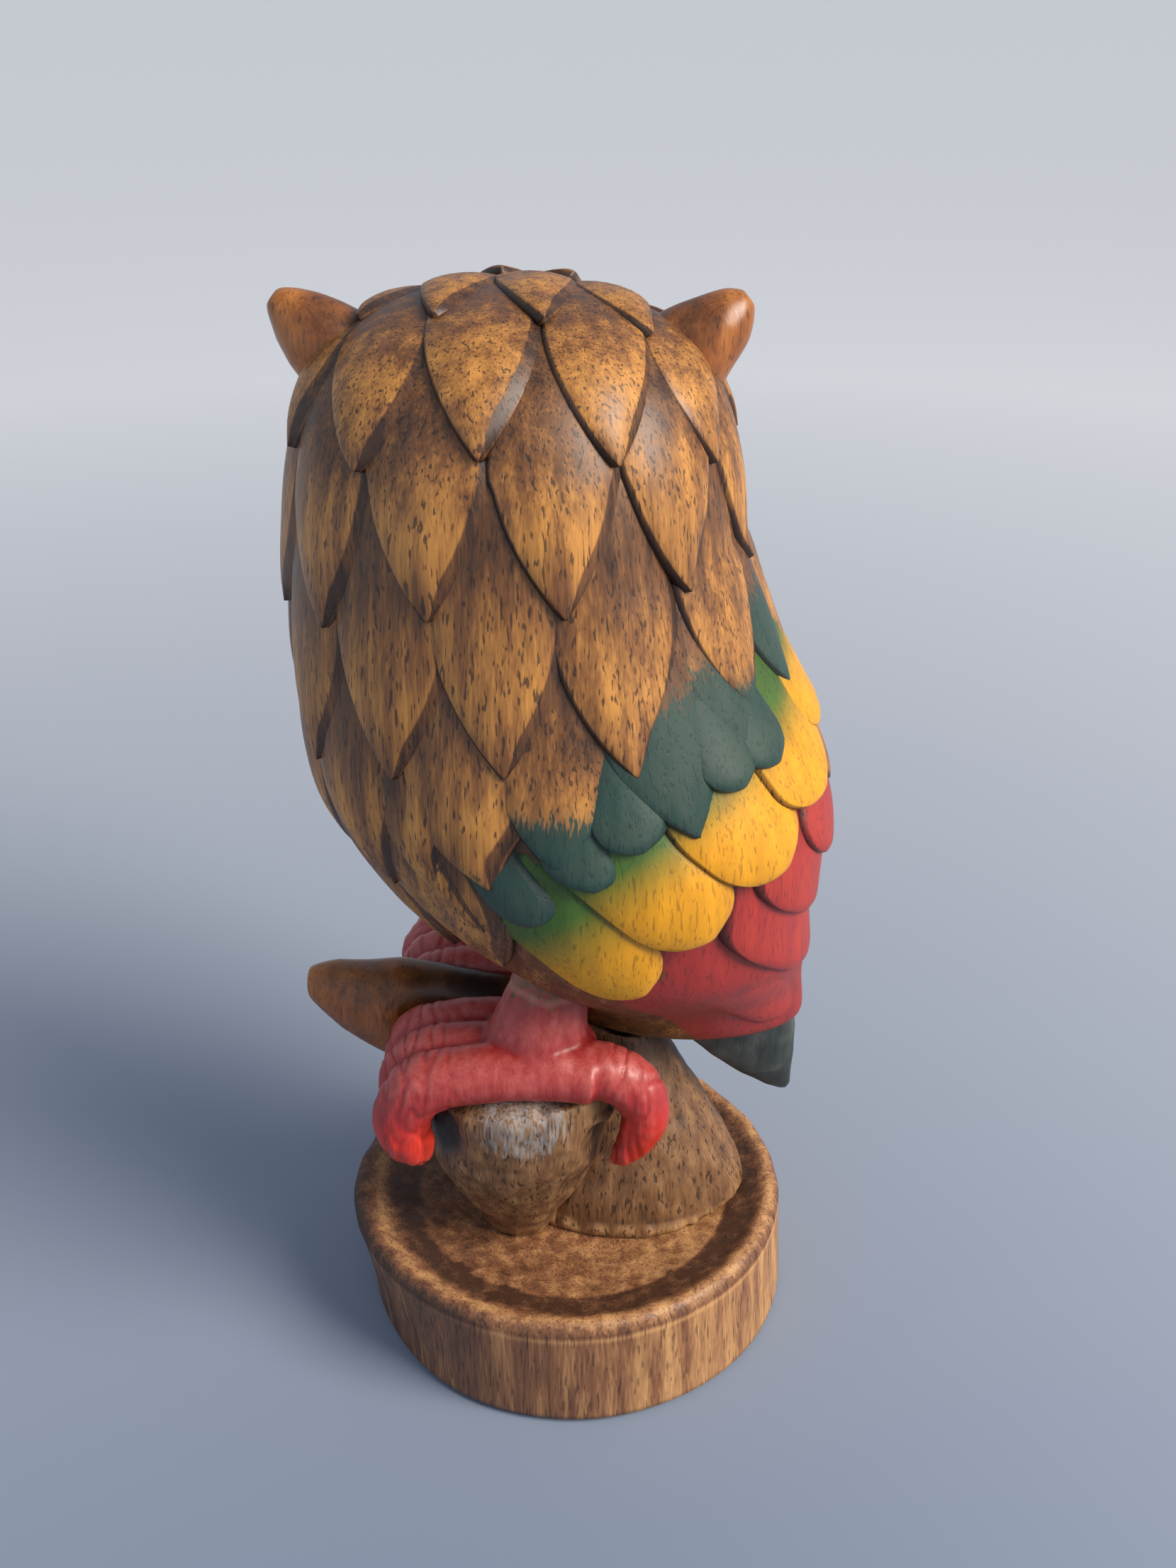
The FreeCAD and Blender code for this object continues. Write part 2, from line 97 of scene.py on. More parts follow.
@dataclass(frozen=True)
class LacqueredWood:
    """Straight-grained tropical hardwood, stained, rubbed back and clear lacquered.

    The eye sees streaks and short dark pores along the upright grain, which become dots
    on level faces, a warm rubbed surface, and stain left in the hollows. Its attributes
    also carry painted shade in hollows, creases and under parts, and painted light on lit sides.
    """

    name: str
    light: str
    mid: str
    dark: str
    # the dark of pores, of stain in the cuts and of painted shade in hollows
    hollow: str = "24150c"
    pore_depth: float = 0.75
    roughness: float = 0.42
    coat: float = 0.12
    streak_width_mm: float = 2.6
    streak_length_mm: float = 34.0
    fibre_width_mm: float = 0.42
    fibre_length_mm: float = 7.0
    pore_width_mm: float = 0.62
    pore_length_mm: float = 3.4
    paint_roughness: float = 0.5
    wear: str = "d8b49a"
    wear_amount: float = 0.0

    def _stretched(self, tree: bpy.types.NodeTree, coords: bpy.types.NodeSocket, width: float,
                   length: float, detail: float, rough: float = 0.55) -> bpy.types.NodeSocket:
        """Noise drawn out along the grain; width and length are in millimetres."""
        mapping = add_node(tree, "ShaderNodeMapping", links={"Vector": coords}, values={
            "Scale": (1 / (width * MM), 1 / (width * MM), 1 / (length * MM))})
        grain = add_node(tree, "ShaderNodeTexNoise", links={"Vector": mapping.outputs[0]},
                         values={"Scale": 1.0, "Detail": detail, "Roughness": rough,
                                 "Distortion": 0.15})
        return grain.outputs[0]

    def build(self) -> bpy.types.Material:
        """Make the material.

        Returns:
            The material, which reads the attributes paint, groove (stain and painted
            shade) and rub (wear and painted light) where a piece has them.
        """
        material = bpy.data.materials.new(self.name)
        material.use_nodes = True
        tree = material.node_tree
        tree.nodes.clear()
        coords = add_node(tree, "ShaderNodeTexCoord").outputs["Object"]
        streak = self._stretched(tree, coords, self.streak_width_mm, self.streak_length_mm, 3.0)
        fibre = self._stretched(tree, coords, self.fibre_width_mm, self.fibre_length_mm, 2.0)
        pores = self._stretched(tree, coords, self.pore_width_mm, self.pore_length_mm, 1.0, 0.4)
        blotch = self._stretched(tree, coords, 14.0, 18.0, 2.0)

        # rub lightens: wear, and painted light; groove darkens: stain, and painted shade
        rub = add_node(tree, "ShaderNodeAttribute", {"attribute_name": "rub"}).outputs["Fac"]
        groove = add_node(tree, "ShaderNodeAttribute", {"attribute_name": "groove"}).outputs["Fac"]
        paint = add_node(tree, "ShaderNodeAttribute", {"attribute_name": "paint"})

        mixed = add_node(tree, "ShaderNodeMath", {"operation": "MULTIPLY_ADD"},
                         {1: 0.65}, {0: streak, 2: add_node(
                             tree, "ShaderNodeMath", {"operation": "MULTIPLY"}, {1: 0.35},
                             {0: fibre}).outputs[0]}).outputs[0]
        # grain tone, lightened by wear and by painted light
        grain_wear_and_light = add_node(tree, "ShaderNodeMath", {"operation": "MULTIPLY_ADD"}, {1: 0.30},
                          {0: rub, 2: mixed}).outputs[0]
        ramp = add_node(tree, "ShaderNodeValToRGB", links={"Fac": grain_wear_and_light})
        stops = ramp.color_ramp.elements
        stops[0].position, stops[0].color = 0.36, linear(self.dark)
        stops[1].position, stops[1].color = 0.82, linear(self.light)
        middle = stops.new(0.56)
        middle.color = linear(self.mid)

        pore_mask = add_node(tree, "ShaderNodeMapRange", {"interpolation_type": "SMOOTHSTEP"},
                             {"From Min": 0.60, "From Max": 0.68, "To Min": 0.0,
                              "To Max": self.pore_depth}, {"Value": pores}).outputs[0]
        dark_pores = add_node(tree, "ShaderNodeMix", {"data_type": "RGBA"}, links={
            0: pore_mask, 6: ramp.outputs[0]}, values={7: linear(self.hollow)}).outputs[2]

        blotchy = add_node(tree, "ShaderNodeMapRange", {}, {
            "From Min": 0.3, "From Max": 0.7, "To Min": -0.22, "To Max": 0.22},
            {"Value": blotch}).outputs[0]
        # stain and painted shade, broken up by blotches, darken towards the hollow colour
        stain_and_shade_mask = add_node(tree, "ShaderNodeMath", {"operation": "ADD", "use_clamp": True},
                               links={0: groove, 1: add_node(
                                   tree, "ShaderNodeMath", {"operation": "MULTIPLY"},
                                   links={0: blotchy, 1: groove}).outputs[0]}).outputs[0]
        stained = add_node(tree, "ShaderNodeMix", {"data_type": "RGBA"}, links={
            0: stain_and_shade_mask, 6: dark_pores}, values={7: linear(self.hollow)}).outputs[2]

        ragged = add_node(tree, "ShaderNodeMapRange", {}, {
            "From Min": 0.3, "From Max": 0.7, "To Min": -0.28, "To Max": 0.28},
            {"Value": fibre}).outputs[0]
        edge = add_node(tree, "ShaderNodeMath", {"operation": "ADD"},
                        links={0: paint.outputs["Alpha"], 1: ragged}).outputs[0]
        cover = add_node(tree, "ShaderNodeMapRange", {"interpolation_type": "SMOOTHSTEP"},
                         {"From Min": 0.32, "From Max": 0.72, "To Min": 0.0, "To Max": 0.96},
                         {"Value": edge}).outputs[0]
        tint_noise = add_node(tree, "ShaderNodeMapRange", {}, {
            "From Min": 0.3, "From Max": 0.7, "To Min": 0.78, "To Max": 1.14},
            {"Value": mixed}).outputs[0]
        tinted = add_node(tree, "ShaderNodeVectorMath", {"operation": "SCALE"},
                          links={0: paint.outputs["Color"], "Scale": tint_noise}).outputs[0]
        # paint is darkened too, as painted shade in its hollows, pleats and grooves
        paint_stain_and_shade = add_node(tree, "ShaderNodeMath", {"operation": "MULTIPLY"}, {1: 0.8},
                                {0: stain_and_shade_mask}).outputs[0]
        paint_pored = add_node(tree, "ShaderNodeMath", {"operation": "MULTIPLY_ADD",
                                                        "use_clamp": True}, {1: 0.45},
                               {0: pore_mask, 2: paint_stain_and_shade}).outputs[0]
        painted = add_node(tree, "ShaderNodeMix", {"data_type": "RGBA"}, links={
            0: paint_pored, 6: tinted}, values={7: linear(self.hollow)}).outputs[2]
        worn = add_node(tree, "ShaderNodeMapRange", {"interpolation_type": "SMOOTHSTEP"},
                        {"From Min": 0.55, "From Max": 1.25, "To Min": 0.0,
                         "To Max": self.wear_amount},
                        {"Value": add_node(tree, "ShaderNodeMath", {"operation": "ADD"}, links={
                            0: rub, 1: mixed}).outputs[0]}).outputs[0]
        rubbed_paint = add_node(tree, "ShaderNodeMix", {"data_type": "RGBA"}, links={
            0: worn, 6: painted}, values={7: linear(self.wear)}).outputs[2]
        colour = add_node(tree, "ShaderNodeMix", {"data_type": "RGBA"}, links={
            0: cover, 6: stained, 7: rubbed_paint}).outputs[2]

        gloss = add_node(tree, "ShaderNodeMapRange", {}, {
            "From Min": 0.3, "From Max": 0.7, "To Min": self.roughness - 0.07,
            "To Max": self.roughness + 0.12}, {"Value": mixed}).outputs[0]
        rough = add_node(tree, "ShaderNodeMath", {"operation": "MULTIPLY_ADD"},
                         {1: self.paint_roughness - self.roughness},
                         {0: cover, 2: gloss}).outputs[0]
        relief = add_node(tree, "ShaderNodeMath", {"operation": "MULTIPLY_ADD"}, {1: -1.0},
                          {0: pore_mask, 2: add_node(
                              tree, "ShaderNodeMath", {"operation": "MULTIPLY"}, {1: 0.35},
                              {0: fibre}).outputs[0]}).outputs[0]
        bump = add_node(tree, "ShaderNodeBump", values={"Strength": 0.35, "Distance": 0.12 * MM},
                        links={"Height": relief})
        shader = add_node(tree, "ShaderNodeBsdfPrincipled", values={
            "IOR": 1.5, "Coat Weight": self.coat, "Coat Roughness": 0.3},
            links={"Base Color": colour, "Roughness": rough, "Normal": bump.outputs[0]})
        add_node(tree, "ShaderNodeOutputMaterial", links={"Surface": shader.outputs[0]})
        return material


# Suar wood stained brown: golden where rubbed back, dark in the cuts from stain and painted shade,
# short pores.
FEATHER_WOOD = LacqueredWood("stained_suar_wood", light="c98b40", mid="7b4e27", dark="3f2615",
                             roughness=0.44, coat=0.1, pore_width_mm=0.45, pore_length_mm=2.8)
# Suar wood with clear lacquer only: warm orange brown, glossier than the feathers.
BARE_WOOD = LacqueredWood("clear_lacquered_suar_wood", light="b8742f", mid="93541f",
                          dark="623610", pore_depth=0.4, roughness=0.34, coat=0.25)
# Suar wood, stained and left matt: grey brown, with pale scuffs on the knob tops.
STUMP_WOOD = LacqueredWood("matt_stained_suar_wood", light="a67e54", mid="7b5636",
                           dark="4c3321", roughness=0.55, coat=0.0, wear="a39c96",
                           wear_amount=0.3)
# Suar wood of the slab: long upright streaks at its side and a pale rubbed rim.
BASE_WOOD = LacqueredWood("base_suar_wood", light="cc9a64", mid="86593a", dark="4a2e1e",
                          pore_depth=0.5, roughness=0.52, coat=0.04, pore_width_mm=0.5,
                          pore_length_mm=4.0)
# Red acrylic rubbed thin: pinkish on the ridges, with dark red painted shade in the pleats and
# under the toes.
FOOT_PAINT = LacqueredWood("rubbed_acrylic_on_suar_wood", light="a67e54", mid="7b5636",
                           dark="4c3321", hollow="3d0f0d", pore_depth=0.3, roughness=0.36,
                           coat=0.15, paint_roughness=0.42, wear="dd8f83", wear_amount=0.32)
# Near-black acrylic, dull, with grey rub marks at the tail's sides.
TAIL_PAINT = LacqueredWood("dark_acrylic_on_suar_wood", light="a67e54", mid="7b5636",
                           dark="4c3321", hollow="0b0f0e", pore_depth=0.3, roughness=0.5,
                           coat=0.05, wear="77807a", wear_amount=0.35)
# Gloss acrylic on the eyes: smooth, with a clear highlight.
EYE_PAINT = LacqueredWood("gloss_acrylic_on_suar_wood", light="a67e54", mid="7b5636",
                          dark="4c3321", hollow="120a05", pore_depth=0.1, roughness=0.25,
                          coat=0.8, paint_roughness=0.2)
# Plain pale dowel wood, unfinished.
DOWEL_WOOD = LacqueredWood("ramin_dowel", light="d9bd8e", mid="c4a26f", dark="a98455",
                           pore_depth=0.2, roughness=0.6, coat=0.0)


class Paint(Enum):
    """Brushed acrylic colours, and a dark brown used for painted shade."""

    GREEN = "16403a"
    LEAF = "3f6a1d"
    YELLOW = "e39c08"
    RED = "a82a26"
    FOOT_RED = "a92a2b"
    CLAW_RED = "d42a17"
    TAIL = "2c3836"
    WORN = "968d87"
    # dark brown painted shade for the knob's front cup
    CHAR = "2a211c"
    PUPIL = "0d0b0a"
    IRIS = "d99a1e"
    NONE = "000000"

    def rgb(self) -> np.ndarray:
        """The colour in linear light."""
        return np.array(linear(self.value)[:3])


# ------------------------------------------------------------------ meshes

def make_piece(name: str, points: np.ndarray, faces: Sequence[Sequence[int]],
               material: bpy.types.Material, attributes: dict[str, np.ndarray] | None = None,
               smooth: bool = True) -> bpy.types.Object:
    """Make a mesh object from points in millimetres.

    Args:
        name: the piece's name.
        points: an array of corners, in millimetres.
        faces: corner numbers of each face.
        material: its finish.
        attributes: per-point values; four columns make a colour, one a number.
        smooth: whether faces are smooth shaded.

    Returns:
        The object, with its place in its mesh.
    """
    mesh = bpy.data.meshes.new(name)
    mesh.from_pydata((np.asarray(points) * MM).tolist(), [], [list(f) for f in faces])
    for key, values in (attributes or {}).items():
        flat = np.asarray(values, float)
        kind = "FLOAT_COLOR" if flat.ndim == 2 else "FLOAT"
        layer = mesh.attributes.new(key, kind, "POINT")
        layer.data.foreach_set("color" if kind == "FLOAT_COLOR" else "value", flat.ravel())
    mesh.polygons.foreach_set("use_smooth", [smooth] * len(mesh.polygons))
    mesh.materials.append(material)
    mesh.validate()
    piece = bpy.data.objects.new(name, mesh)
    bpy.context.scene.collection.objects.link(piece)
    return piece


def grid_faces(rows: int, columns: int, wrap: bool = True) -> list[tuple[int, int, int, int]]:
    """Faces of a grid of points, stored row by row.

    Args:
        rows: the number of rows.
        columns: the number of points in a row.
        wrap: whether the last column joins the first.

    Returns:
        Quads that face outwards when rows rise and columns turn anticlockwise.
    """
    last = columns if wrap else columns - 1
    return [(r * columns + c, r * columns + (c + 1) % columns,
             (r + 1) * columns + (c + 1) % columns, (r + 1) * columns + c)
            for r in range(rows - 1) for c in range(last)]


def closed_rings(rings: np.ndarray) -> tuple[np.ndarray, list[tuple[int, ...]]]:
    """Close a stack of rings with a middle point at each end.

    Args:
        rings: an array of ring, corner and coordinate.

    Returns:
        The points and the faces.
    """
    count, columns = rings.shape[:2]
    points = np.vstack([rings.reshape(-1, 3), rings[0].mean(0), rings[-1].mean(0)])
    faces: list[tuple[int, ...]] = list(grid_faces(count, columns))
    low, high = count * columns, count * columns + 1
    top = (count - 1) * columns
    for c in range(columns):
        faces.append((low, (c + 1) % columns, c))
        faces.append((high, top + c, top + (c + 1) % columns))
    return points, faces


def lumps(points: np.ndarray, size: float, seed: float = 0.0) -> np.ndarray:
    """Smooth noise between about -1 and 1 at each point.

    Args:
        points: corners in millimetres.
        size: the width of a lump, in millimetres.
        seed: shifts the noise, so that pieces differ.

    Returns:
        One value per point.
    """
    shift = Vector((seed, seed * 1.7, seed * 0.3))
    return np.array([noise.noise(Vector(p) / size + shift) for p in points])


def cuts(points: np.ndarray, size: float, seed: float = 0.0) -> np.ndarray:
    """Flat knife facets: the distance to the nearest cell centre, at each point.

    Args:
        points: corners in millimetres.
        size: the width of a facet, in millimetres.
        seed: shifts the pattern.

    Returns:
        One value per point, from 0 at a facet's middle to about 1 at its border.
    """
    shift = Vector((seed, seed * 1.7, seed * 0.3))
    return np.array([noise.voronoi(Vector(p) / size + shift)[0][0] for p in points])


def mesh_normals(points: np.ndarray, faces: Sequence[Sequence[int]]) -> np.ndarray:
    """Outward unit normals at each point of a mesh of quads and triangles."""
    normals = np.zeros_like(points)
    for size in (3, 4):
        group = np.array([f for f in faces if len(f) == size])
        if len(group):
            first = points[group[:, 1]] - points[group[:, 0]]
            second = points[group[:, -1]] - points[group[:, 0]]
            facing = np.cross(first, second)
            for corner in range(size):
                np.add.at(normals, group[:, corner], facing)
    lengths = np.linalg.norm(normals, axis=1, keepdims=True)
    return normals / np.maximum(lengths, 1e-9)


def solid_tree(names: Iterable[str]) -> BVHTree:
    """A ray-casting tree over CAD nodes, in millimetres."""
    points: list[Vector] = []
    faces: list[list[int]] = []
    for name in names:
        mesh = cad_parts[name].data
        start = len(points)
        points += [v.co / MM for v in mesh.vertices]
        faces += [[start + i for i in p.vertices] for p in mesh.polygons]
    return BVHTree.FromPolygons(points, faces)


def settle(piece: bpy.types.Object, slot: str, *nodes: str) -> bpy.types.Object:
    """Ride a finished piece on the root and hide what it stands for."""
    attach(piece, ROOT)
    if nodes:
        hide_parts(*nodes)
    LOG.info("%s: %d faces", piece.name, len(piece.data.polygons))
    return piece


# ------------------------------------------------------------------ the bird's skin

@dataclass
class BirdSkin:
    """The bird's smooth outer surface, as a map from (turn, rise) to a place.

    Turn is the angle round the bird in degrees: 0 is the breast, 90 the left side.
    Rise is the distance up the skin in millimetres: straight up to the shoulder of the
    crown, then over the crown along nearly parallel lines that run to a point far out in
    front of the face, so that the rows of feathers are combed back from the forehead.
    """

    low: float = 61.2
    shoulder: float = 176.0
    axis_forward: float = 9.0
    axis_side: float = MID_SIDE
    lean_from: float = 120.0
    lean_forward: float = 35.0
    crown_radius: float = 34.5
    crown_length: float = 46.0
    past_top: float = 34.0
    comb_side: float = -75.0
    face_turn: float = FACE_TURN
    tuck: float = 0.17
    oval: float = 1.02
    oval_from: float = 160.0
    columns: int = 180
    level_step: float = 1.25
    far: float = 90.0
    grid: np.ndarray = field(init=False)
    normals: np.ndarray = field(init=False)
    crown: tuple[np.ndarray, np.ndarray] = field(init=False)

    def __post_init__(self) -> None:
        """Read the skin from the solids."""
        tree = solid_tree(["body", "left_wing"])
        self.rise_end = self.shoulder - self.low + self.crown_length + self.past_top
        rows = int(self.rise_end / self.level_step) + 1
        self.rises = np.linspace(0.0, self.rise_end, rows)
        ring = self._ring(tree, self.shoulder)
        self.crown = self._crown_profile(tree)
        out = []
        for rise in self.rises:
            height = self.low + rise
            if height <= self.shoulder:
                out.append(self._ring(tree, height))
            else:
                out.append(self._crown_ring(ring, height - self.shoulder))
        grid = np.array(out)
        for _ in range(3):
            middle = (np.roll(grid, 1, 1) + np.roll(grid, -1, 1) + 2 * grid) / 4
            grid[1:-1] = (middle[:-2] + 2 * middle[1:-1] + middle[2:]) / 4
        self.grid = grid
        across = np.roll(grid, -1, 1) - np.roll(grid, 1, 1)
        up = np.gradient(grid, axis=0)
        facing = np.cross(across, up)
        length = np.linalg.norm(facing, axis=2, keepdims=True)
        facing = facing / np.maximum(length, 1e-9)
        if self.past_top <= 0:
            facing[-4:] = facing[-5:-4]
        self.normals = facing

    def axis(self, height: float) -> float:
        """How far forward the turning axis lies at a height."""
        share = min(max((self.lean_from - height) / (self.lean_from - self.low), 0.0), 1.0)
        return self.axis_forward - self.lean_forward * share

    def _reach(self, tree: BVHTree, height: float, angle: float) -> float:
        """How far the skin stands from the axis."""
        middle = Vector((self.axis(height), self.axis_side, height))
        ray = Vector((math.cos(angle), math.sin(angle), 0))
        hit = tree.ray_cast(middle + ray * self.far, -ray, self.far)[0]
        return (hit - middle).length if hit is not None else 0.0

    def _ring(self, tree: BVHTree, height: float) -> np.ndarray:
        """One level ring, read on the left side, which has no face, and mirrored."""
        half = self.columns // 2
        angles = np.arange(half + 1) * 2 * math.pi / self.columns
        if height < self.oval_from:
            reach = [self._reach(tree, height, angle) for angle in angles]
        else:
            deep = self._reach(tree, height, math.pi / 2)
            reach = [deep / math.hypot(math.sin(a), math.cos(a) / self.oval) for a in angles]
        whole = np.array(reach + reach[-2:0:-1])
        turns = np.arange(self.columns) * 2 * math.pi / self.columns
        return np.stack([self.axis(height) + whole * np.cos(turns),
                         self.axis_side + whole * np.sin(turns),
                         np.full(self.columns, height)], -1)

    def _crown_profile(self, tree: BVHTree) -> tuple[np.ndarray, np.ndarray]:
        """The crown's height at each distance from the axis."""
        reaches = np.linspace(0.5, self.crown_radius, 60)
        heights = []
        for reach in reaches:
            start = Vector((self.axis_forward, self.axis_side + reach, 260))
            hit = tree.ray_cast(start, Vector((0, 0, -1)), 200)[0]
            heights.append(hit.z if hit is not None else self.shoulder)
        return reaches, np.array(heights)

    def _crown_ring(self, ring: np.ndarray, climb: float) -> np.ndarray:
        """A ring over the crown, moved on along the combed lines."""
        centre = np.array([self.axis_forward, self.axis_side])
        target = np.array([self.axis_forward, self.comb_side])
        bend = min(climb / self.crown_length, 1.0) * math.pi / 2
        inward = self.crown_radius * (1 - math.cos(bend)) + max(climb - self.crown_length, 0.0)
        out = []
        for point in ring:
            away = target - point[:2]
            line = away / max(np.linalg.norm(away), 1e-6)
            radial = (centre - point[:2]) / np.linalg.norm(centre - point[:2])
            facing = max(float(line @ radial), 0.0)
            spot = point[:2] + line * (inward * facing + climb * (1 - facing))
            reach = np.linalg.norm((spot - centre) / [self.oval, 1.0])
            limit = self.crown_radius * 0.985
            if reach > limit:
                spot, reach = centre + (spot - centre) * limit / reach, limit
            out.append([*spot, np.interp(reach, *self.crown)])
        return np.array(out)

    def tucked(self, points: np.ndarray) -> np.ndarray:
        """Sink what runs under the face, so the face lies cleanly over it."""
        centre = np.array([self.axis_forward, self.axis_side])
        out = points - [*centre, 0.0]
        turns = np.degrees(np.arctan2(out[:, 1], out[:, 0]))
        away = np.abs((turns - self.face_turn + 180) % 360 - 180)
        under = (np.clip((60 - away) / 14, 0, 1) * np.clip((points[:, 2] - 150) / 6, 0, 1)
                 * np.clip((195 - points[:, 2]) / 4, 0, 1))
        sunk = points.copy()
        sunk[:, :2] -= out[:, :2] * (self.tuck * under)[:, None]
        return sunk

    def rise_at(self, height: float) -> float:
        """The rise of a height below the crown's shoulder."""
        return height - self.low

    def _read(self, table: np.ndarray, turns: np.ndarray, rises: np.ndarray) -> np.ndarray:
        """Blend the four nearest grid values."""
        u = (np.asarray(turns, float) % 360.0) / 360.0 * self.columns
        v = np.clip(np.asarray(rises, float) / self.rise_end, 0, 1) * (len(self.rises) - 1)
        c0 = np.floor(u).astype(int) % self.columns
        c1 = (c0 + 1) % self.columns
        r0 = np.minimum(np.floor(v).astype(int), len(self.rises) - 2)
        fu, fv = (u - np.floor(u))[:, None], (v - r0)[:, None]
        low = table[r0, c0] * (1 - fu) + table[r0, c1] * fu
        high = table[r0 + 1, c0] * (1 - fu) + table[r0 + 1, c1] * fu
        return low * (1 - fv) + high * fv

    def place(self, turns: np.ndarray, rises: np.ndarray, lifts: np.ndarray) -> np.ndarray:
        """Places on or over the skin.

        Args:
            turns: angles round the bird, in degrees.
            rises: distances up the skin.
            lifts: heights off the skin.

        Returns:
            One point per entry, in millimetres.
        """
        normals = self._read(self.normals, turns, rises)
        return self._read(self.grid, turns, rises) + normals * np.asarray(lifts)[:, None]


# ------------------------------------------------------------------ feathers

class Tip(Enum):
    """How a feather's end is cut."""

    POINTED = 0
    ROUNDED = 1


@dataclass(frozen=True)
class Feather:
    """One carved feather on the skin; turn and half width are in degrees."""

    turn: float
    rise: float
    half_width: float = 17.5
    length: float = 52.0
    slant: float = 0.0
    tip: Tip = Tip.POINTED
    lift: float = 0.0
    tip_paint: Paint = Paint.NONE
    root_paint: Paint = Paint.NONE
    fade_from: float = 0.0
    fade_to: float = 0.0


DEGREE_MM = 0.7  # how many flat millimetres stand for one degree of turn


@dataclass
class FeatherTemplate:
    """The unit feather: 1 wide to each side, 1 long from its tip, heights in millimetres."""

    tip: Tip
    rows: int = 26
    widest: float = 0.5
    taper: float = 1.9
    round_share: float = 0.3
    tip_height: float = 1.35
    root_height: float = -1.75
    pillow: float = 0.7
    facet: float = 0.25
    facet_drop: float = 0.95
    wall: float = 2.2
    wall_spread: float = 0.09

    def half_width(self, along: float) -> float:
        """The outline's half width at a share of the length."""
        if self.tip is Tip.ROUNDED:
            back = max(0.0, 1 - along / self.round_share)
            return math.sqrt(max(0.0, 1 - back * back))
        back = max(0.0, 1 - along / self.widest)
        return 1 - back ** self.taper

    def section(self, half: float) -> list[tuple[float, float, float, float]]:
        """One cross cut: across, height, groove and facet at each point; the walls carry dark stain
        and painted shade.
        """
        spread = self.wall_spread
        facet = min(self.facet, half * 0.6)
        inner = half - facet
        # the walls are darkened to a thin dark line: dark stain and painted shade
        points = [(-half - spread, -self.wall, 1.0, 0.0), (-half - spread * 0.55, -0.75, 1.0, 0.0),
                  (-half, -0.12, 0.55, 0.0)]
        for step in range(8):
            share = step / 7
            x = -half + 0.03 * half + (inner + half - 0.03 * half) * share
            crown = 1 - (2 * share - 1) ** 2
            points.append((x, self.pillow * crown * min(1.0, half * 1.4), 0.0, 0.0))
        points += [(inner + facet * 0.12, -0.08, 0.1, 1.0),
                   (inner + facet * 0.88, -self.facet_drop, 0.25, 1.0),
                   (half, -self.facet_drop - 0.12, 0.0, 0.4),
                   (half + spread * 0.5, -self.facet_drop - 0.55, 0.9, 0.0),
                   (half + spread * 0.6, -self.wall, 1.0, 0.0)]
        return points

    def build(self) -> bpy.types.Object:
        """Make the template object, with its attributes."""
        shares = [0.004] + [(r / (self.rows - 1)) ** 1.25 for r in range(1, self.rows)]
        points, groove, facet, along = [], [], [], []
        for share in shares:
            tilt = self.tip_height + (self.root_height - self.tip_height) * share
            tip_fall = 0.35 * max(0.0, 1 - share / 0.08)
            for x, z, g, f in self.section(self.half_width(share)):
                points.append((x, share, z + tilt - tip_fall * (z > -0.3)))
                groove.append(g)
                facet.append(f)
                along.append(share)
        columns = len(self.section(1.0))
        faces: list[tuple[int, ...]] = list(grid_faces(len(shares), columns))
        last = (len(shares) - 1) * columns
        faces += [tuple(reversed(range(columns))), tuple(range(last, last + columns))]
        mesh = bpy.data.meshes.new("template_" + self.tip.name.lower())
        mesh.from_pydata(points, [], faces)
        for key, values in (("groove", groove), ("facet", facet), ("along", along)):
            mesh.attributes.new(key, "FLOAT", "POINT").data.foreach_set("value", values)
        return bpy.data.objects.new(mesh.name, mesh)


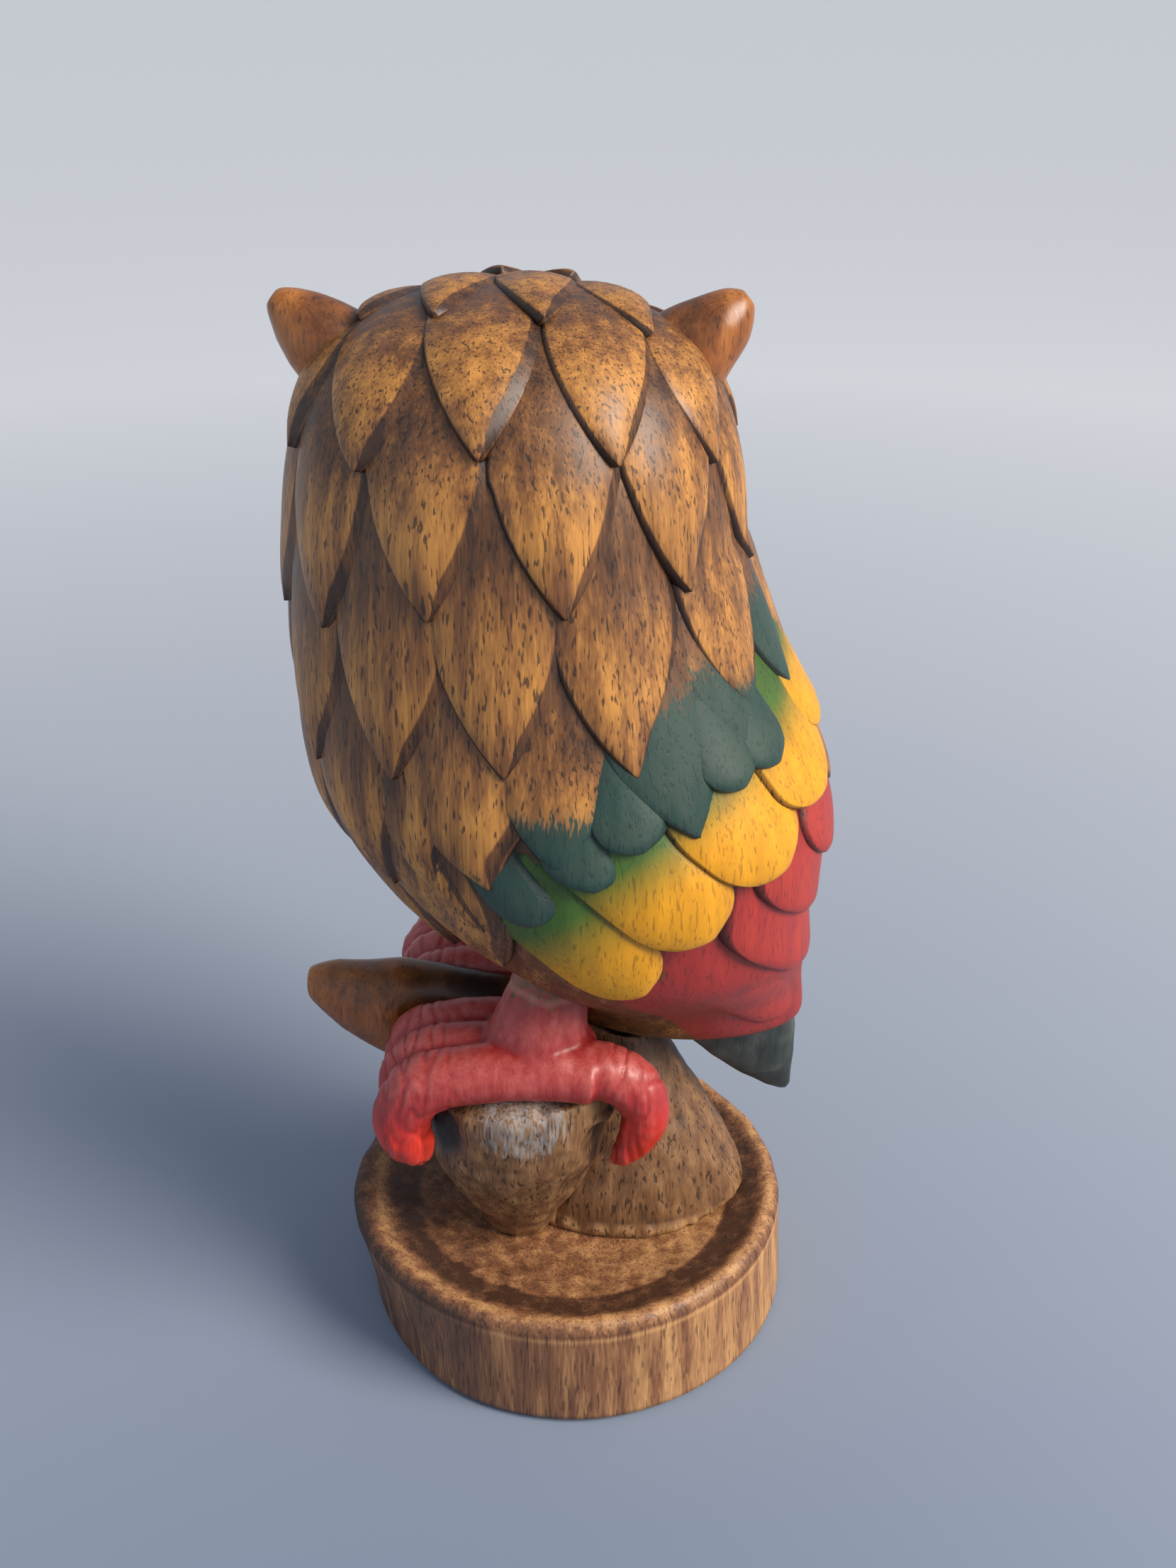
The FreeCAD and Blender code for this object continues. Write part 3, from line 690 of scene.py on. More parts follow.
class FeatherCoat:
    """Lays feathers on the skin: the tree places and repeats the unit feather flat, and
    the flat coat is then wrapped round the bird."""

    def __init__(self, skin: BirdSkin, seed: int = 7) -> None:
        """Keep the skin and make the templates and the tree."""
        self.skin = skin
        self.seed = seed
        self.templates = {tip: FeatherTemplate(tip).build() for tip in Tip}
        self.tree = self._build_tree()

    def _build_tree(self) -> bpy.types.NodeTree:
        """The Geometry Nodes tree that repeats the unit feather on points."""
        tree = bpy.data.node_groups.new("feather_coat", "GeometryNodeTree")
        face = tree.interface
        face.new_socket("Geometry", in_out="INPUT", socket_type="NodeSocketGeometry")
        for name, kind in (("Pointed Feather", "Object"), ("Rounded Feather", "Object"),
                           ("Finish", "Material"), ("Seed", "Int"), ("Lift Jitter", "Float"),
                           ("Slant Jitter", "Float")):
            face.new_socket(name, in_out="INPUT", socket_type="NodeSocket" + kind)
        face.new_socket("Geometry", in_out="OUTPUT", socket_type="NodeSocketGeometry")
        ins = add_node(tree, "NodeGroupInput").outputs

        def attribute(name: str) -> bpy.types.NodeSocket:
            """A named number on the points."""
            return add_node(tree, "GeometryNodeInputNamedAttribute", {"data_type": "FLOAT"},
                            {"Name": name}).outputs[0]

        def jitter(amount: bpy.types.NodeSocket, shift: int) -> bpy.types.NodeSocket:
            """A random number between minus and plus an amount."""
            low = add_node(tree, "ShaderNodeMath", {"operation": "MULTIPLY"}, {1: -1.0},
                           {0: amount}).outputs[0]
            seed = add_node(tree, "ShaderNodeMath", {"operation": "ADD"}, {1: float(shift)},
                            {0: ins["Seed"]}).outputs[0]
            picked = add_node(tree, "FunctionNodeRandomValue", {"data_type": "FLOAT"})
            tree.links.new(low, picked.inputs[2])
            tree.links.new(amount, picked.inputs[3])
            tree.links.new(seed, picked.inputs["Seed"])
            return picked.outputs[1]

        points = add_node(tree, "GeometryNodeMeshToPoints", links={"Mesh": ins["Geometry"]})
        raised = add_node(tree, "ShaderNodeMath", {"operation": "ADD"}, links={
            0: attribute("lift"), 1: jitter(ins["Lift Jitter"], 1)}).outputs[0]
        offset = add_node(tree, "ShaderNodeCombineXYZ", links={"Z": raised}).outputs[0]
        moved = add_node(tree, "GeometryNodeSetPosition", links={
            "Geometry": points.outputs[0], "Offset": offset}).outputs[0]
        slant = add_node(tree, "ShaderNodeMath", {"operation": "ADD"}, links={
            0: attribute("slant"), 1: jitter(ins["Slant Jitter"], 2)}).outputs[0]
        turn = add_node(tree, "ShaderNodeCombineXYZ", links={"Z": slant}).outputs[0]
        scale = add_node(tree, "ShaderNodeCombineXYZ", values={"Z": 1.0}, links={
            "X": attribute("half_width"), "Y": attribute("length")}).outputs[0]
        join = add_node(tree, "GeometryNodeJoinGeometry")
        for name, wanted in (("Pointed Feather", Tip.POINTED), ("Rounded Feather", Tip.ROUNDED)):
            shape = add_node(tree, "GeometryNodeObjectInfo", links={"Object": ins[name]})
            chosen = add_node(tree, "FunctionNodeCompare", {
                "data_type": "FLOAT", "operation": "EQUAL"}, {1: float(wanted.value)},
                {0: attribute("tip_kind")}).outputs[0]
            laid = add_node(tree, "GeometryNodeInstanceOnPoints", links={
                "Points": moved, "Selection": chosen, "Instance": shape.outputs["Geometry"],
                "Rotation": turn, "Scale": scale})
            tree.links.new(laid.outputs[0], join.inputs[0])
        real = add_node(tree, "GeometryNodeRealizeInstances", links={0: join.outputs[0]})
        dressed = add_node(tree, "GeometryNodeSetMaterial", links={
            "Geometry": real.outputs[0], "Material": ins["Finish"]})
        add_node(tree, "NodeGroupOutput", links={0: dressed.outputs[0]})
        return tree

    def _flat(self, name: str, feathers: Sequence[Feather],
              material: bpy.types.Material) -> bpy.types.Mesh:
        """The coat before it is wrapped: feathers repeated on a flat sheet."""
        mesh = bpy.data.meshes.new(name + "_points")
        mesh.from_pydata([(f.turn * DEGREE_MM, f.rise, 0) for f in feathers], [], [])
        columns = {
            "half_width": [f.half_width * DEGREE_MM for f in feathers],
            "length": [f.length for f in feathers],
            "slant": [math.radians(f.slant) for f in feathers],
            "lift": [f.lift for f in feathers],
            "tip_kind": [float(f.tip.value) for f in feathers],
            "number": [float(n) for n in range(len(feathers))],
        }
        for key, values in columns.items():
            mesh.attributes.new(key, "FLOAT", "POINT").data.foreach_set("value", values)
        carrier = bpy.data.objects.new(name + "_carrier", mesh)
        bpy.context.scene.collection.objects.link(carrier)
        modifier = carrier.modifiers.new("coat", "NODES")
        modifier.node_group = self.tree
        values = {"Pointed Feather": self.templates[Tip.POINTED],
                  "Rounded Feather": self.templates[Tip.ROUNDED], "Finish": material,
                  "Seed": self.seed, "Lift Jitter": 0.08, "Slant Jitter": 0.03}
        for item in self.tree.interface.items_tree:
            if item.in_out == "INPUT" and item.name in values:
                modifier[item.identifier] = values[item.name]
        bpy.context.view_layer.update()
        seen = carrier.evaluated_get(bpy.context.evaluated_depsgraph_get())
        flat = bpy.data.meshes.new_from_object(seen)
        carrier.modifiers.clear()
        bpy.data.objects.remove(carrier)
        return flat

    def lay(self, name: str, feathers: Sequence[Feather], material: bpy.types.Material,
            mirror: bool = False) -> bpy.types.Object:
        """Lay feathers on the bird.

        Args:
            name: the piece's name.
            feathers: where they are and how they are painted.
            material: their finish.
            mirror: whether the coat is reflected to the bird's other side.

        Returns:
            The finished piece.
        """
        flat = self._flat(name, feathers, material)
        count = len(flat.vertices)
        corners = np.zeros(count * 3)
        flat.vertices.foreach_get("co", corners)
        corners = corners.reshape(-1, 3)

        def read(key: str) -> np.ndarray:
            """One named number per corner."""
            values = np.zeros(count)
            flat.attributes[key].data.foreach_get("value", values)
            return values

        number = np.rint(read("number")).astype(int)
        groove, facet, along = read("groove"), read("facet"), read("along")
        points = self.skin.place(corners[:, 0] / DEGREE_MM, corners[:, 1], corners[:, 2])
        points += 0.10 * lumps(points, 5.0, 3.1)[:, None] * self.skin.normals.mean((0, 1))
        points = self.skin.tucked(points)
        paint = np.zeros((count, 4))
        rub = np.zeros(count)
        shade = groove.copy()
        for index, feather in enumerate(feathers):
            own = number == index
            share = along[own]
            blend = np.clip((share - feather.fade_from)
                            / max(feather.fade_to - feather.fade_from, 1e-3), 0, 1)
            tip_rgb, root_rgb = feather.tip_paint.rgb(), feather.root_paint.rgb()
            has_tip = feather.tip_paint is not Paint.NONE
            has_root = feather.root_paint is not Paint.NONE
            if has_tip and has_root:
                paint[own, :3] = tip_rgb * (1 - blend)[:, None] + root_rgb * blend[:, None]
                paint[own, 3] = 1.0
            elif has_tip:
                paint[own, :3] = tip_rgb
                paint[own, 3] = 1 - blend
            # lighter on the rubbed-back middle; painted shade on the chamfer facets and the walls
            rub[own] = (np.clip(1 - np.abs(share - 0.24) / 0.34, 0, 1) * 0.7
                        - 0.7 * facet[own] - 0.5 * groove[own])
            # painted shade towards the root, where it runs under the row above
            shade[own] = np.clip(groove[own] + 0.3 * np.clip((share - 0.45) / 0.3, 0, 1), 0, 1)
        if mirror:
            points[:, 1] = 2 * self.skin.axis_side - points[:, 1]
        faces = [tuple(p.vertices) for p in flat.polygons]
        if mirror:
            faces = [tuple(reversed(f)) for f in faces]
        bpy.data.meshes.remove(flat)
        return make_piece(name, points, faces, material,
                          {"paint": paint, "groove": shade, "rub": np.clip(rub, -1, 1)})


@dataclass
class Plumage:
    """Head, back, breast and wings: where each feather lies and how it is coloured."""

    skin: BirdSkin
    core: BirdSkin
    columns: int = 11
    face_turn: float = FACE_TURN
    face_half: float = 52.0

    def row(self, seen: Sequence[tuple[float, float]], half_width: float = 17.5,
            length: float = 52.0) -> list[Feather]:
        """One row round the whole bird.

        Args:
            seen: turn and height or climb of each tip on the bird's left, in order.
            half_width: half a feather's width, in degrees.
            length: a feather's length.

        Returns:
            The feathers: those given, and the rest evenly between the last and the first.
        """
        gap = self.columns - len(seen) + 1
        first, last = seen[0], seen[-1]
        rest = []
        for n in range(1, gap):
            share = n / gap
            rest.append((last[0] + (first[0] + 360 - last[0]) * share,
                         last[1] + (first[1] - last[1]) * share))
        return [Feather(turn, height, half_width, length) for turn, height in [*seen, *rest]]

    def off_face(self, feathers: Iterable[Feather], margin: float = 0.0) -> list[Feather]:
        """Leave out the feathers that would cover the face."""
        def away(turn: float) -> float:
            """The angle between a turn and the face."""
            return abs((turn - self.face_turn + 180) % 360 - 180)
        return [f for f in feathers if away(f.turn) > self.face_half + margin]

    def wing_side(self, feather: Feather, start: float = 60.0) -> bool:
        """Whether a feather lies where a wing's own feathers are."""
        return start < abs((feather.turn + 180) % 360 - 180) < 178

    def levels(self, *spots: tuple[float, float]) -> list[tuple[float, float]]:
        """Turn tips given by their height into tips given by their rise."""
        return [(turn, self.skin.rise_at(height)) for turn, height in spots]

    def body_feathers(self) -> list[Feather]:
        """The feathers carved in the body block."""
        top = self.skin.rise_at(self.skin.shoulder)
        rows = self.off_face(self.row([(52.0, top + 56), (85.0, top + 55), (118.0, top + 54),
                                       (151.0, top + 52)], 19.0, 20.0), 50)
        rows += self.off_face(self.row([(35.5, top + 29), (68.5, top + 31), (101.0, top + 30.4),
                                        (135.0, top + 25)], 18.5, 46.0), 22)
        rows += self.off_face(self.row([(18.0, top), (52.0, top + 1.8), (84.4, top + 8),
                                        (118.0, top + 5), (151.5, top - 0.5)], 18.0, 50.0))
        rows += self.off_face(self.row(self.levels((8.0, 149), (40.0, 152), (71.8, 157.3),
                                                   (103.8, 158), (136.6, 158.5))))
        shoulder = self.row(self.levels((31.0, 127), (61.0, 130.4), (89.2, 133.5),
                                        (118.0, 132.6), (150.0, 137)))
        rows += [replace(f, tip_paint=Paint.GREEN, fade_from=0.03, fade_to=0.17)
                 if 140 < abs((f.turn + 180) % 360 - 180) < 170 else f for f in shoulder]
        lower = self.row(self.levels((16.0, 106), (46.0, 108.5), (80.0, 114), (112.0, 117)),
                         length=44.0)
        rows += [f for f in lower if not self.wing_side(f, 84.0)]
        lowest = self.row(self.levels((0.0, 88), (31.0, 90), (60.0, 94)), length=40.0)
        rows += [f for f in lowest if not self.wing_side(f, 64.0)]
        for sign in (1, -1):
            rows.append(Feather(sign * 68.0, self.skin.rise_at(104.0), 8.0, 44.0, sign * 10.0))
            rows.append(Feather(sign * 67.0, self.skin.rise_at(115.0), 7.0, 30.0, sign * -8.0))
        return rows

    def wing_feathers(self) -> list[Feather]:
        """The left wing's own feathers, from brown through green and yellow to red."""
        green = {"tip_paint": Paint.GREEN}
        whole = {"fade_from": 2.0, "fade_to": 3.0, "tip": Tip.ROUNDED}
        gold = {"tip_paint": Paint.YELLOW, "root_paint": Paint.LEAF, "tip": Tip.ROUNDED}
        red = {"tip_paint": Paint.RED, **whole}

        def feather(turn: float, height: float, half_width: float, length: float, slant: float,
                    lift: float, fade: tuple[float, float] | None = None,
                    **look: Paint | Tip | float) -> Feather:
            """A wing feather by its tip's height, with a fade where two paints meet."""
            if fade is not None:
                look = {**look, "fade_from": fade[0], "fade_to": fade[1]}
            return Feather(turn, self.skin.rise_at(height), half_width, length, slant, lift=lift,
                           **look)

        return [
            feather(138.0, 68.0, 34.0, 34.0, -16.0, -1.1, **red),
            feather(147.0, 84.0, 28.0, 30.0, -24.0, -0.5, **red),
            feather(155.0, 96.0, 22.0, 26.0, -26.0, -0.1, **red),
            feather(166.0, 105.0, 15.0, 24.0, -24.0, 0.3, **red),
            feather(97.0, 91.0, 16.5, 28.0, 26.0, -0.1, (0.3, 0.6), **gold),
            feather(122.5, 102.4, 15.0, 28.0, 26.0, 0.1, (0.36, 0.62), **gold),
            feather(146.0, 111.0, 13.5, 28.0, 24.0, 0.4, (0.42, 0.7), **gold),
            feather(165.0, 119.0, 13.0, 28.0, 18.0, 1.2, (0.36, 0.64), **gold),
            feather(179.0, 126.0, 12.0, 28.0, 10.0, 1.0, (0.36, 0.64), **gold),
            feather(84.5, 107.6, 8.5, 16.0, 8.0, 0.0, **green, **whole),
            feather(104.0, 115.0, 8.0, 18.0, 0.0, 0.2, **green, **whole),
            feather(117.5, 121.0, 8.5, 20.0, 12.0, 0.3, **green, **whole),
            feather(141.0, 127.0, 8.5, 22.0, 10.0, 0.5, **green, **whole),
            feather(152.0, 128.0, 8.5, 22.0, 10.0, 0.6, **green, **whole),
            feather(168.0, 136.0, 12.0, 34.0, 4.0, 0.2, (0.35, 0.7), **green),
            feather(147.5, 129.5, 13.0, 36.0, 6.0, 0.1, (0.35, 0.65), **green),
            feather(129.5, 121.5, 15.5, 40.0, 6.0, 0.15, (0.42, 0.72), **green),
            feather(101.1, 117.2, 14.5, 38.0, 1.0, 0.1, (0.16, 0.38), **green),
        ]

    def build(self) -> None:
        """Make the core and the coats and settle them."""
        finish = FEATHER_WOOD.build()
        coat = FeatherCoat(self.skin)
        settle(self._core(finish), "feather_wood", "body")
        settle(coat.lay("body_feathers", self.body_feathers(), finish), "feather_wood")
        for name, mirror in (("left_wing_feathers", False), ("right_wing_feathers", True)):
            piece = coat.lay(name, self.wing_feathers(), finish, mirror)
            settle(piece, "wing_paint", name.replace("_feathers", ""))

    def _core(self, finish: bpy.types.Material) -> bpy.types.Object:
        """The block under the feathers, closed at both ends."""
        columns, rises = 160, np.linspace(0, self.core.rise_end - 1.5, 130)
        turns = np.arange(columns) * 360.0 / columns
        all_turns, all_rises = np.tile(turns, len(rises)), np.repeat(rises, columns)
        feathered = np.clip((self.core.low + all_rises - 86) / 12, 0, 1)
        rings = self.core.place(all_turns, all_rises, -0.4 - 1.5 * feathered)
        points, faces = closed_rings(rings.reshape(len(rises), columns, 3))
        side = np.abs((all_turns + 180) % 360 - 180)
        heights = points[:-2, 2]
        red = np.clip((side - 98) / 12, 0, 1) * np.clip((108 - heights) / 6, 0, 1)
        red = np.where(heights < 92, np.clip((side - 80) / 10, 0, 1), red)
        paint = np.zeros((len(points), 4))
        paint[:-2, :3], paint[:-2, 3] = Paint.RED.rgb(), red
        groove = np.full(len(points), 0.18)
        # painted shade above 112 mm, where the core shows only through the gaps between feathers
        groove[:-2] += 0.5 * np.clip((heights - 112) / 6, 0, 1)
        return make_piece("body_core", points, faces, finish,
                          {"paint": paint, "groove": groove, "rub": np.full(len(points), 0.1)})


# ------------------------------------------------------------------ carved forms

def node_shell(name: str) -> tuple[np.ndarray, list[tuple[int, ...]]]:
    """A CAD node's shell, merged into shared corners, in millimetres."""
    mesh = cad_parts[name].data
    corners = np.array([v.co for v in mesh.vertices]) / MM
    points, numbers = np.unique(np.round(corners, 3), axis=0, return_inverse=True)
    numbers = numbers.ravel()
    faces = [tuple(int(numbers[i]) for i in p.vertices) for p in mesh.polygons]
    return points, [f for f in faces if len(set(f)) == len(f)]


def tube(path: Sequence[Sequence[float]], columns: int = 28,
         steps: int = 8) -> tuple[np.ndarray, list[tuple[int, ...]]]:
    """A closed round limb along a smooth path.

    Args:
        path: x, y, z, radius and half width of each station, in millimetres.
        columns: how many corners go round.
        steps: how many rings stand between two stations.

    Returns:
        The points and faces.
    """
    stations = np.array(path, float)
    padded = np.vstack([2 * stations[0] - stations[1], stations, 2 * stations[-1] - stations[-2]])
    rings = []
    for n in range(len(stations) - 1):
        p0, p1, p2, p3 = padded[n:n + 4]
        for t in np.linspace(0, 1, steps, endpoint=n == len(stations) - 2):
            rings.append(0.5 * (2 * p1 + (p2 - p0) * t + (2 * p0 - 5 * p1 + 4 * p2 - p3) * t ** 2
                                + (3 * p1 - p0 - 3 * p2 + p3) * t ** 3))
    line = np.array(rings)
    ahead = np.gradient(line[:, :3], axis=0)
    ahead /= np.linalg.norm(ahead, axis=1, keepdims=True)
    angles = np.arange(columns) * 2 * math.pi / columns
    flat = np.array([0.0, 1.0, 0.0]) if abs(ahead[:, 1]).max() < 0.95 else np.array([0, 0, 1.0])
    out = []
    for spot, facing in zip(line, ahead):
        side = np.cross(facing, flat)
        side /= np.linalg.norm(side)
        wide = np.cross(side, facing)
        out.append(spot[:3] + np.outer(np.cos(angles), side) * spot[3]
                   + np.outer(np.sin(angles), wide) * spot[4])
    points, faces = closed_rings(np.array(out))
    outward = mesh_normals(points, faces)
    if float(np.sum(outward * (points - points.mean(0)))) < 0:
        faces = [tuple(reversed(f)) for f in faces]
    return points, faces


@dataclass
class Carving:
    """One even skin of small quads that knives and wear are worked into."""

    points: np.ndarray
    faces: list[tuple[int, ...]]
    edges: np.ndarray

    @classmethod
    def melted(cls, shells: Sequence[tuple[np.ndarray, list[tuple[int, ...]]]],
               voxel: float) -> "Carving":
        """Unite closed shells.

        Args:
            shells: points and faces of each, in millimetres.
            voxel: the size of the quads, in millimetres.

        Returns:
            The united skin.
        """
        mesh = bpy.data.meshes.new("blank")
        points: list[list[float]] = []
        faces: list[tuple[int, ...]] = []
        for shell_points, shell_faces in shells:
            start = len(points)
            points += (np.asarray(shell_points) * MM).tolist()
            faces += [tuple(start + i for i in f) for f in shell_faces]
        mesh.from_pydata(points, [], faces)
        blank = bpy.data.objects.new("blank", mesh)
        bpy.context.scene.collection.objects.link(blank)
        melt = blank.modifiers.new("melt", "REMESH")
        melt.mode, melt.voxel_size = "VOXEL", voxel * MM
        seen = blank.evaluated_get(bpy.context.evaluated_depsgraph_get())
        skin = bpy.data.meshes.new_from_object(seen)
        corners = np.zeros(len(skin.vertices) * 3)
        skin.vertices.foreach_get("co", corners)
        pairs = np.zeros(len(skin.edges) * 2, int)
        skin.edges.foreach_get("vertices", pairs)
        skin_faces = [tuple(p.vertices) for p in skin.polygons]
        bpy.data.objects.remove(blank)
        bpy.data.meshes.remove(skin)
        return cls(corners.reshape(-1, 3) / MM, skin_faces, pairs.reshape(-1, 2))

    def _averaged(self, values: np.ndarray, steps: int, weight: float = 0.5) -> np.ndarray:
        """Values drawn towards their neighbours' average."""
        first, second = self.edges[:, 0], self.edges[:, 1]
        count = np.maximum(np.bincount(self.edges.ravel(), minlength=len(values)), 1)
        shape = (-1,) + (1,) * (values.ndim - 1)
        for _ in range(steps):
            total = np.zeros_like(values)
            np.add.at(total, first, values[second])
            np.add.at(total, second, values[first])
            values = values + (total / count.reshape(shape) - values) * weight
        return values

    def relax(self, steps: int) -> "Carving":
        """Smooth the skin."""
        self.points = self._averaged(self.points, steps)
        return self

    def push(self, amounts: np.ndarray) -> "Carving":
        """Move each point along its normal by an amount in millimetres."""
        self.points = self.points + mesh_normals(self.points, self.faces) * amounts[:, None]
        return self

    def near(self, spot: Sequence[float], reach: float) -> np.ndarray:
        """A soft mask round a spot: 1 at it and 0 from the reach on."""
        away = np.linalg.norm(self.points - np.array(spot), axis=1) / reach
        return np.clip(1 - away ** 2, 0, 1) ** 2

    def relief(self, steps: int = 14) -> np.ndarray:
        """How far each point stands over its surroundings: ridges above 0, hollows below."""
        plain = self._averaged(self.points, steps)
        return np.sum((self.points - plain) * mesh_normals(self.points, self.faces), axis=1)

    def piece(self, name: str, finish: bpy.types.Material, paint: np.ndarray | None = None,
              groove: np.ndarray | None = None, rub: np.ndarray | None = None,
              contrast: float = 1.6) -> bpy.types.Object:
        """Make the piece, darkened in its hollows as stain and painted shade, and rubbed on its
        ridges.

        Args:
            name: the piece's name.
            finish: its material.
            paint: red, green, blue and cover of each point.
            groove: extra stain and painted shade.
            rub: extra wear and painted light.
            contrast: how strongly hollows and ridges show.

        Returns:
            The object.
        """
        relief = self.relief() * contrast
        zero = np.zeros(len(self.points))
        # hollows are darkened as stain and painted shade; ridges are lightened as wear
        return make_piece(name, self.points, self.faces, finish, {
            "paint": np.zeros((len(self.points), 4)) if paint is None else paint,
            "groove": np.clip(-relief * 1.3 + (zero if groove is None else groove), 0, 1),
            "rub": np.clip(relief + (zero if rub is None else rub), -1, 1)})


def painted(rgb: np.ndarray, cover: np.ndarray) -> np.ndarray:
    """Paint of one colour, or of one colour per point, with its cover."""
    out = np.zeros((len(cover), 4))
    out[:, :3], out[:, 3] = rgb, cover
    return out


class Side(Enum):
    """The bird's two sides."""

    LEFT = 1
    RIGHT = -1

    @property
    def word(self) -> str:
        """The side's word in piece names."""
        return self.name.lower()


@dataclass
class Perch:
    """The base slab, the trunk, the two knobs under the feet and the branch stub."""

    rim_radius: float = 41.3
    foot_radius: float = 42.4
    rim_height: float = 23.6
    flare: float = 3.4
    flare_turn: float = 12.0
    knob_spread: float = 17.5
    mid_side: float = MID_SIDE

    def build(self) -> None:
        """Make and settle the pieces."""
        stump_finish = STUMP_WOOD.build()
        settle(self._base(BASE_WOOD.build()), "base_wood", "base")
        settle(self._trunk(stump_finish), "stump_wood", "stump")
        for side in Side:
            settle(self._knob(side, stump_finish), "stump_wood", side.word + "_perch_knob")
        settle(self._stub(BARE_WOOD.build()), "bare_wood", "branch_stub")

    def _base(self, finish: bpy.types.Material) -> bpy.types.Object:
        """The dished slab with its uneven, rubbed rim, its side painted lighter towards the lit -x
        side and painted shade in its dish.
        """
        rim, foot, top = self.rim_radius, self.foot_radius, self.rim_height
        outline = [(0.02, 0.0), (foot - 6, 0.0), (foot - 1.0, 0.0), (foot - 0.2, 0.9)]
        outline += [(foot + (rim - foot) * t + 0.25, 1.2 + (top - 3.4) * t)
                    for t in np.linspace(0, 1, 22)]
        outline += [(rim - 0.3, top - 0.9), (rim - 1.0, top - 0.15), (rim - 1.9, top + 0.1),
                    (rim - 2.9, top - 0.1), (rim - 4.2, top - 1.0)]
        outline += [(r, 18.5 + 3.9 * ((r - 12) / (rim - 16.2)) ** 2.2 if r > 12 else 18.5)
                    for r in np.linspace(rim - 5.2, 0.02, 42)]
        columns = 260
        turns = np.arange(columns) * 2 * math.pi / columns
        wave = np.array([noise.noise(Vector((math.cos(t) * 1.7, math.sin(t) * 1.7, 4.0)))
                         for t in turns])
        fine = np.array([noise.noise(Vector((math.cos(t) * 7, math.sin(t) * 7, 9.0)))
                         for t in turns])
        flare = np.exp(-((np.degrees(turns) - self.flare_turn + 180) % 360 - 180) ** 2 / 46 ** 2)
        rings = []
        for radius, height in outline:
            share = (radius / rim) ** 3
            up = (height / top) ** 1.5
            reach = radius + share * (0.5 * wave + 0.22 * fine * up + self.flare * flare * up
                                      - 1.5 * flare * (1 - up))
            drop = share * (0.35 * fine + 0.5 * wave) * (height > 14)
            rings.append(np.stack([reach * np.cos(turns), reach * np.sin(turns),
                                   np.maximum(height + drop, 0)], -1))
        points, faces = closed_rings(np.array(rings))
        points[:, 2] += np.where(points[:, 2] > 16, 0.16 * lumps(points, 3.2, 2.0), 0)
        reach = np.hypot(points[:, 0], points[:, 1])
        edge = np.exp(-((reach - rim + 1.8) / 2.2) ** 2) * (points[:, 2] > top - 4)
        upright = points[:, 2] < top - 3.0
        # painted light: the upright side is lighter towards -x, where the light falls; the top is
        # set darker
        painted_side_light_dark_top = np.where(upright, 0.35 * np.clip(-points[:, 0] / 30, -1, 1) + 0.28, -0.45)
        # painted shade in the dish, deeper towards the rim and towards +x
        hollow = np.where(upright, 0, np.clip((reach - 22) / 16, 0, 1) * 0.3
                          * np.clip((points[:, 0] + 10) / 30, 0.2, 1))
        return make_piece("base_slab", points, faces, finish, {
            "paint": np.zeros((len(points), 4)), "groove": np.clip(hollow - edge, 0, 1),
            "rub": np.clip(painted_side_light_dark_top + 1.1 * edge, -1, 1)})

    def _trunk(self, finish: bpy.types.Material) -> bpy.types.Object:
        """The trunk that spreads into a mound, with a chipped edge where it meets the base, and
        painted shade at its top under the body and at its foot in the base.
        """
        form = Carving.melted([node_shell("stump")], 0.6).relax(6)
        form.push(0.9 * lumps(form.points, 13.0, 5.0) + 0.35 * lumps(form.points, 4.0, 6.0))
        height = form.points[:, 2]
        chip = np.clip(1 - np.abs(height - 20.6) / 1.8, 0, 1) * (form.points[:, 1] > 4)
        form.push(chip * (0.5 + 0.9 * lumps(form.points * [1, 1, 0.3], 1.6, 8.0)))
        # painted shade: darker towards the top, under the body and feet, and below 19.4 mm, inside
        # the base
        dark = 0.65 * np.clip((height - 42) / 12, 0, 1) + 0.9 * (height < 19.4)
        return form.piece("trunk", finish, groove=dark - 0.4 * chip, rub=0.55 * chip + 0.12)

    def _knob(self, side: Side, finish: bpy.types.Material) -> bpy.types.Object:
        """A perch knob: a cupped end in front painted dark as shade, a rubbed top, a blunt keel and
        painted shade in the cup behind.
        """
        name = side.word + "_perch_knob"
        middle = self.mid_side + side.value * self.knob_spread
        filler = tube([(-8, middle, 53, 2.5, 5), (0, middle, 55.5, 5, 9), (9, middle, 57, 5.5, 11),
                       (18, middle, 56, 5, 9.5), (25, middle, 53, 2.5, 5)])
        form = Carving.melted([node_shell(name), filler], 0.55).relax(9)
        out = self.mid_side + side.value * (self.knob_spread + 3.5)
        front = form.near((26.0, out, 52.5), 11.0)
        back = form.near((-7.0, out, 50.0), 8.5)
        form.push(-3.4 * front - 2.2 * back)
        form.push(0.9 * cuts(form.points, 8.0, 3.0) - 0.45
                  + 0.3 * lumps(form.points, 2.5, 4.0))
        worn = form.near((9.0, out + side.value * 5, 57.0), 13.0)
        cover = 0.55 * np.clip(worn * 1.8, 0, 1)
        # painted shade: the front cup is painted dark brown and the back cup is darkened
        cup_shade = np.clip(front * 2.0, 0, 1)
        colour = (Paint.WORN.rgb() * (1 - cup_shade)[:, None] + Paint.CHAR.rgb() * cup_shade[:, None])
        return form.piece("carved_" + name, finish, painted(colour, np.maximum(cover, 0.8 * cup_shade)),
                          0.5 * cup_shade + 0.4 * back, 0.15 + 0.3 * worn, 1.2)

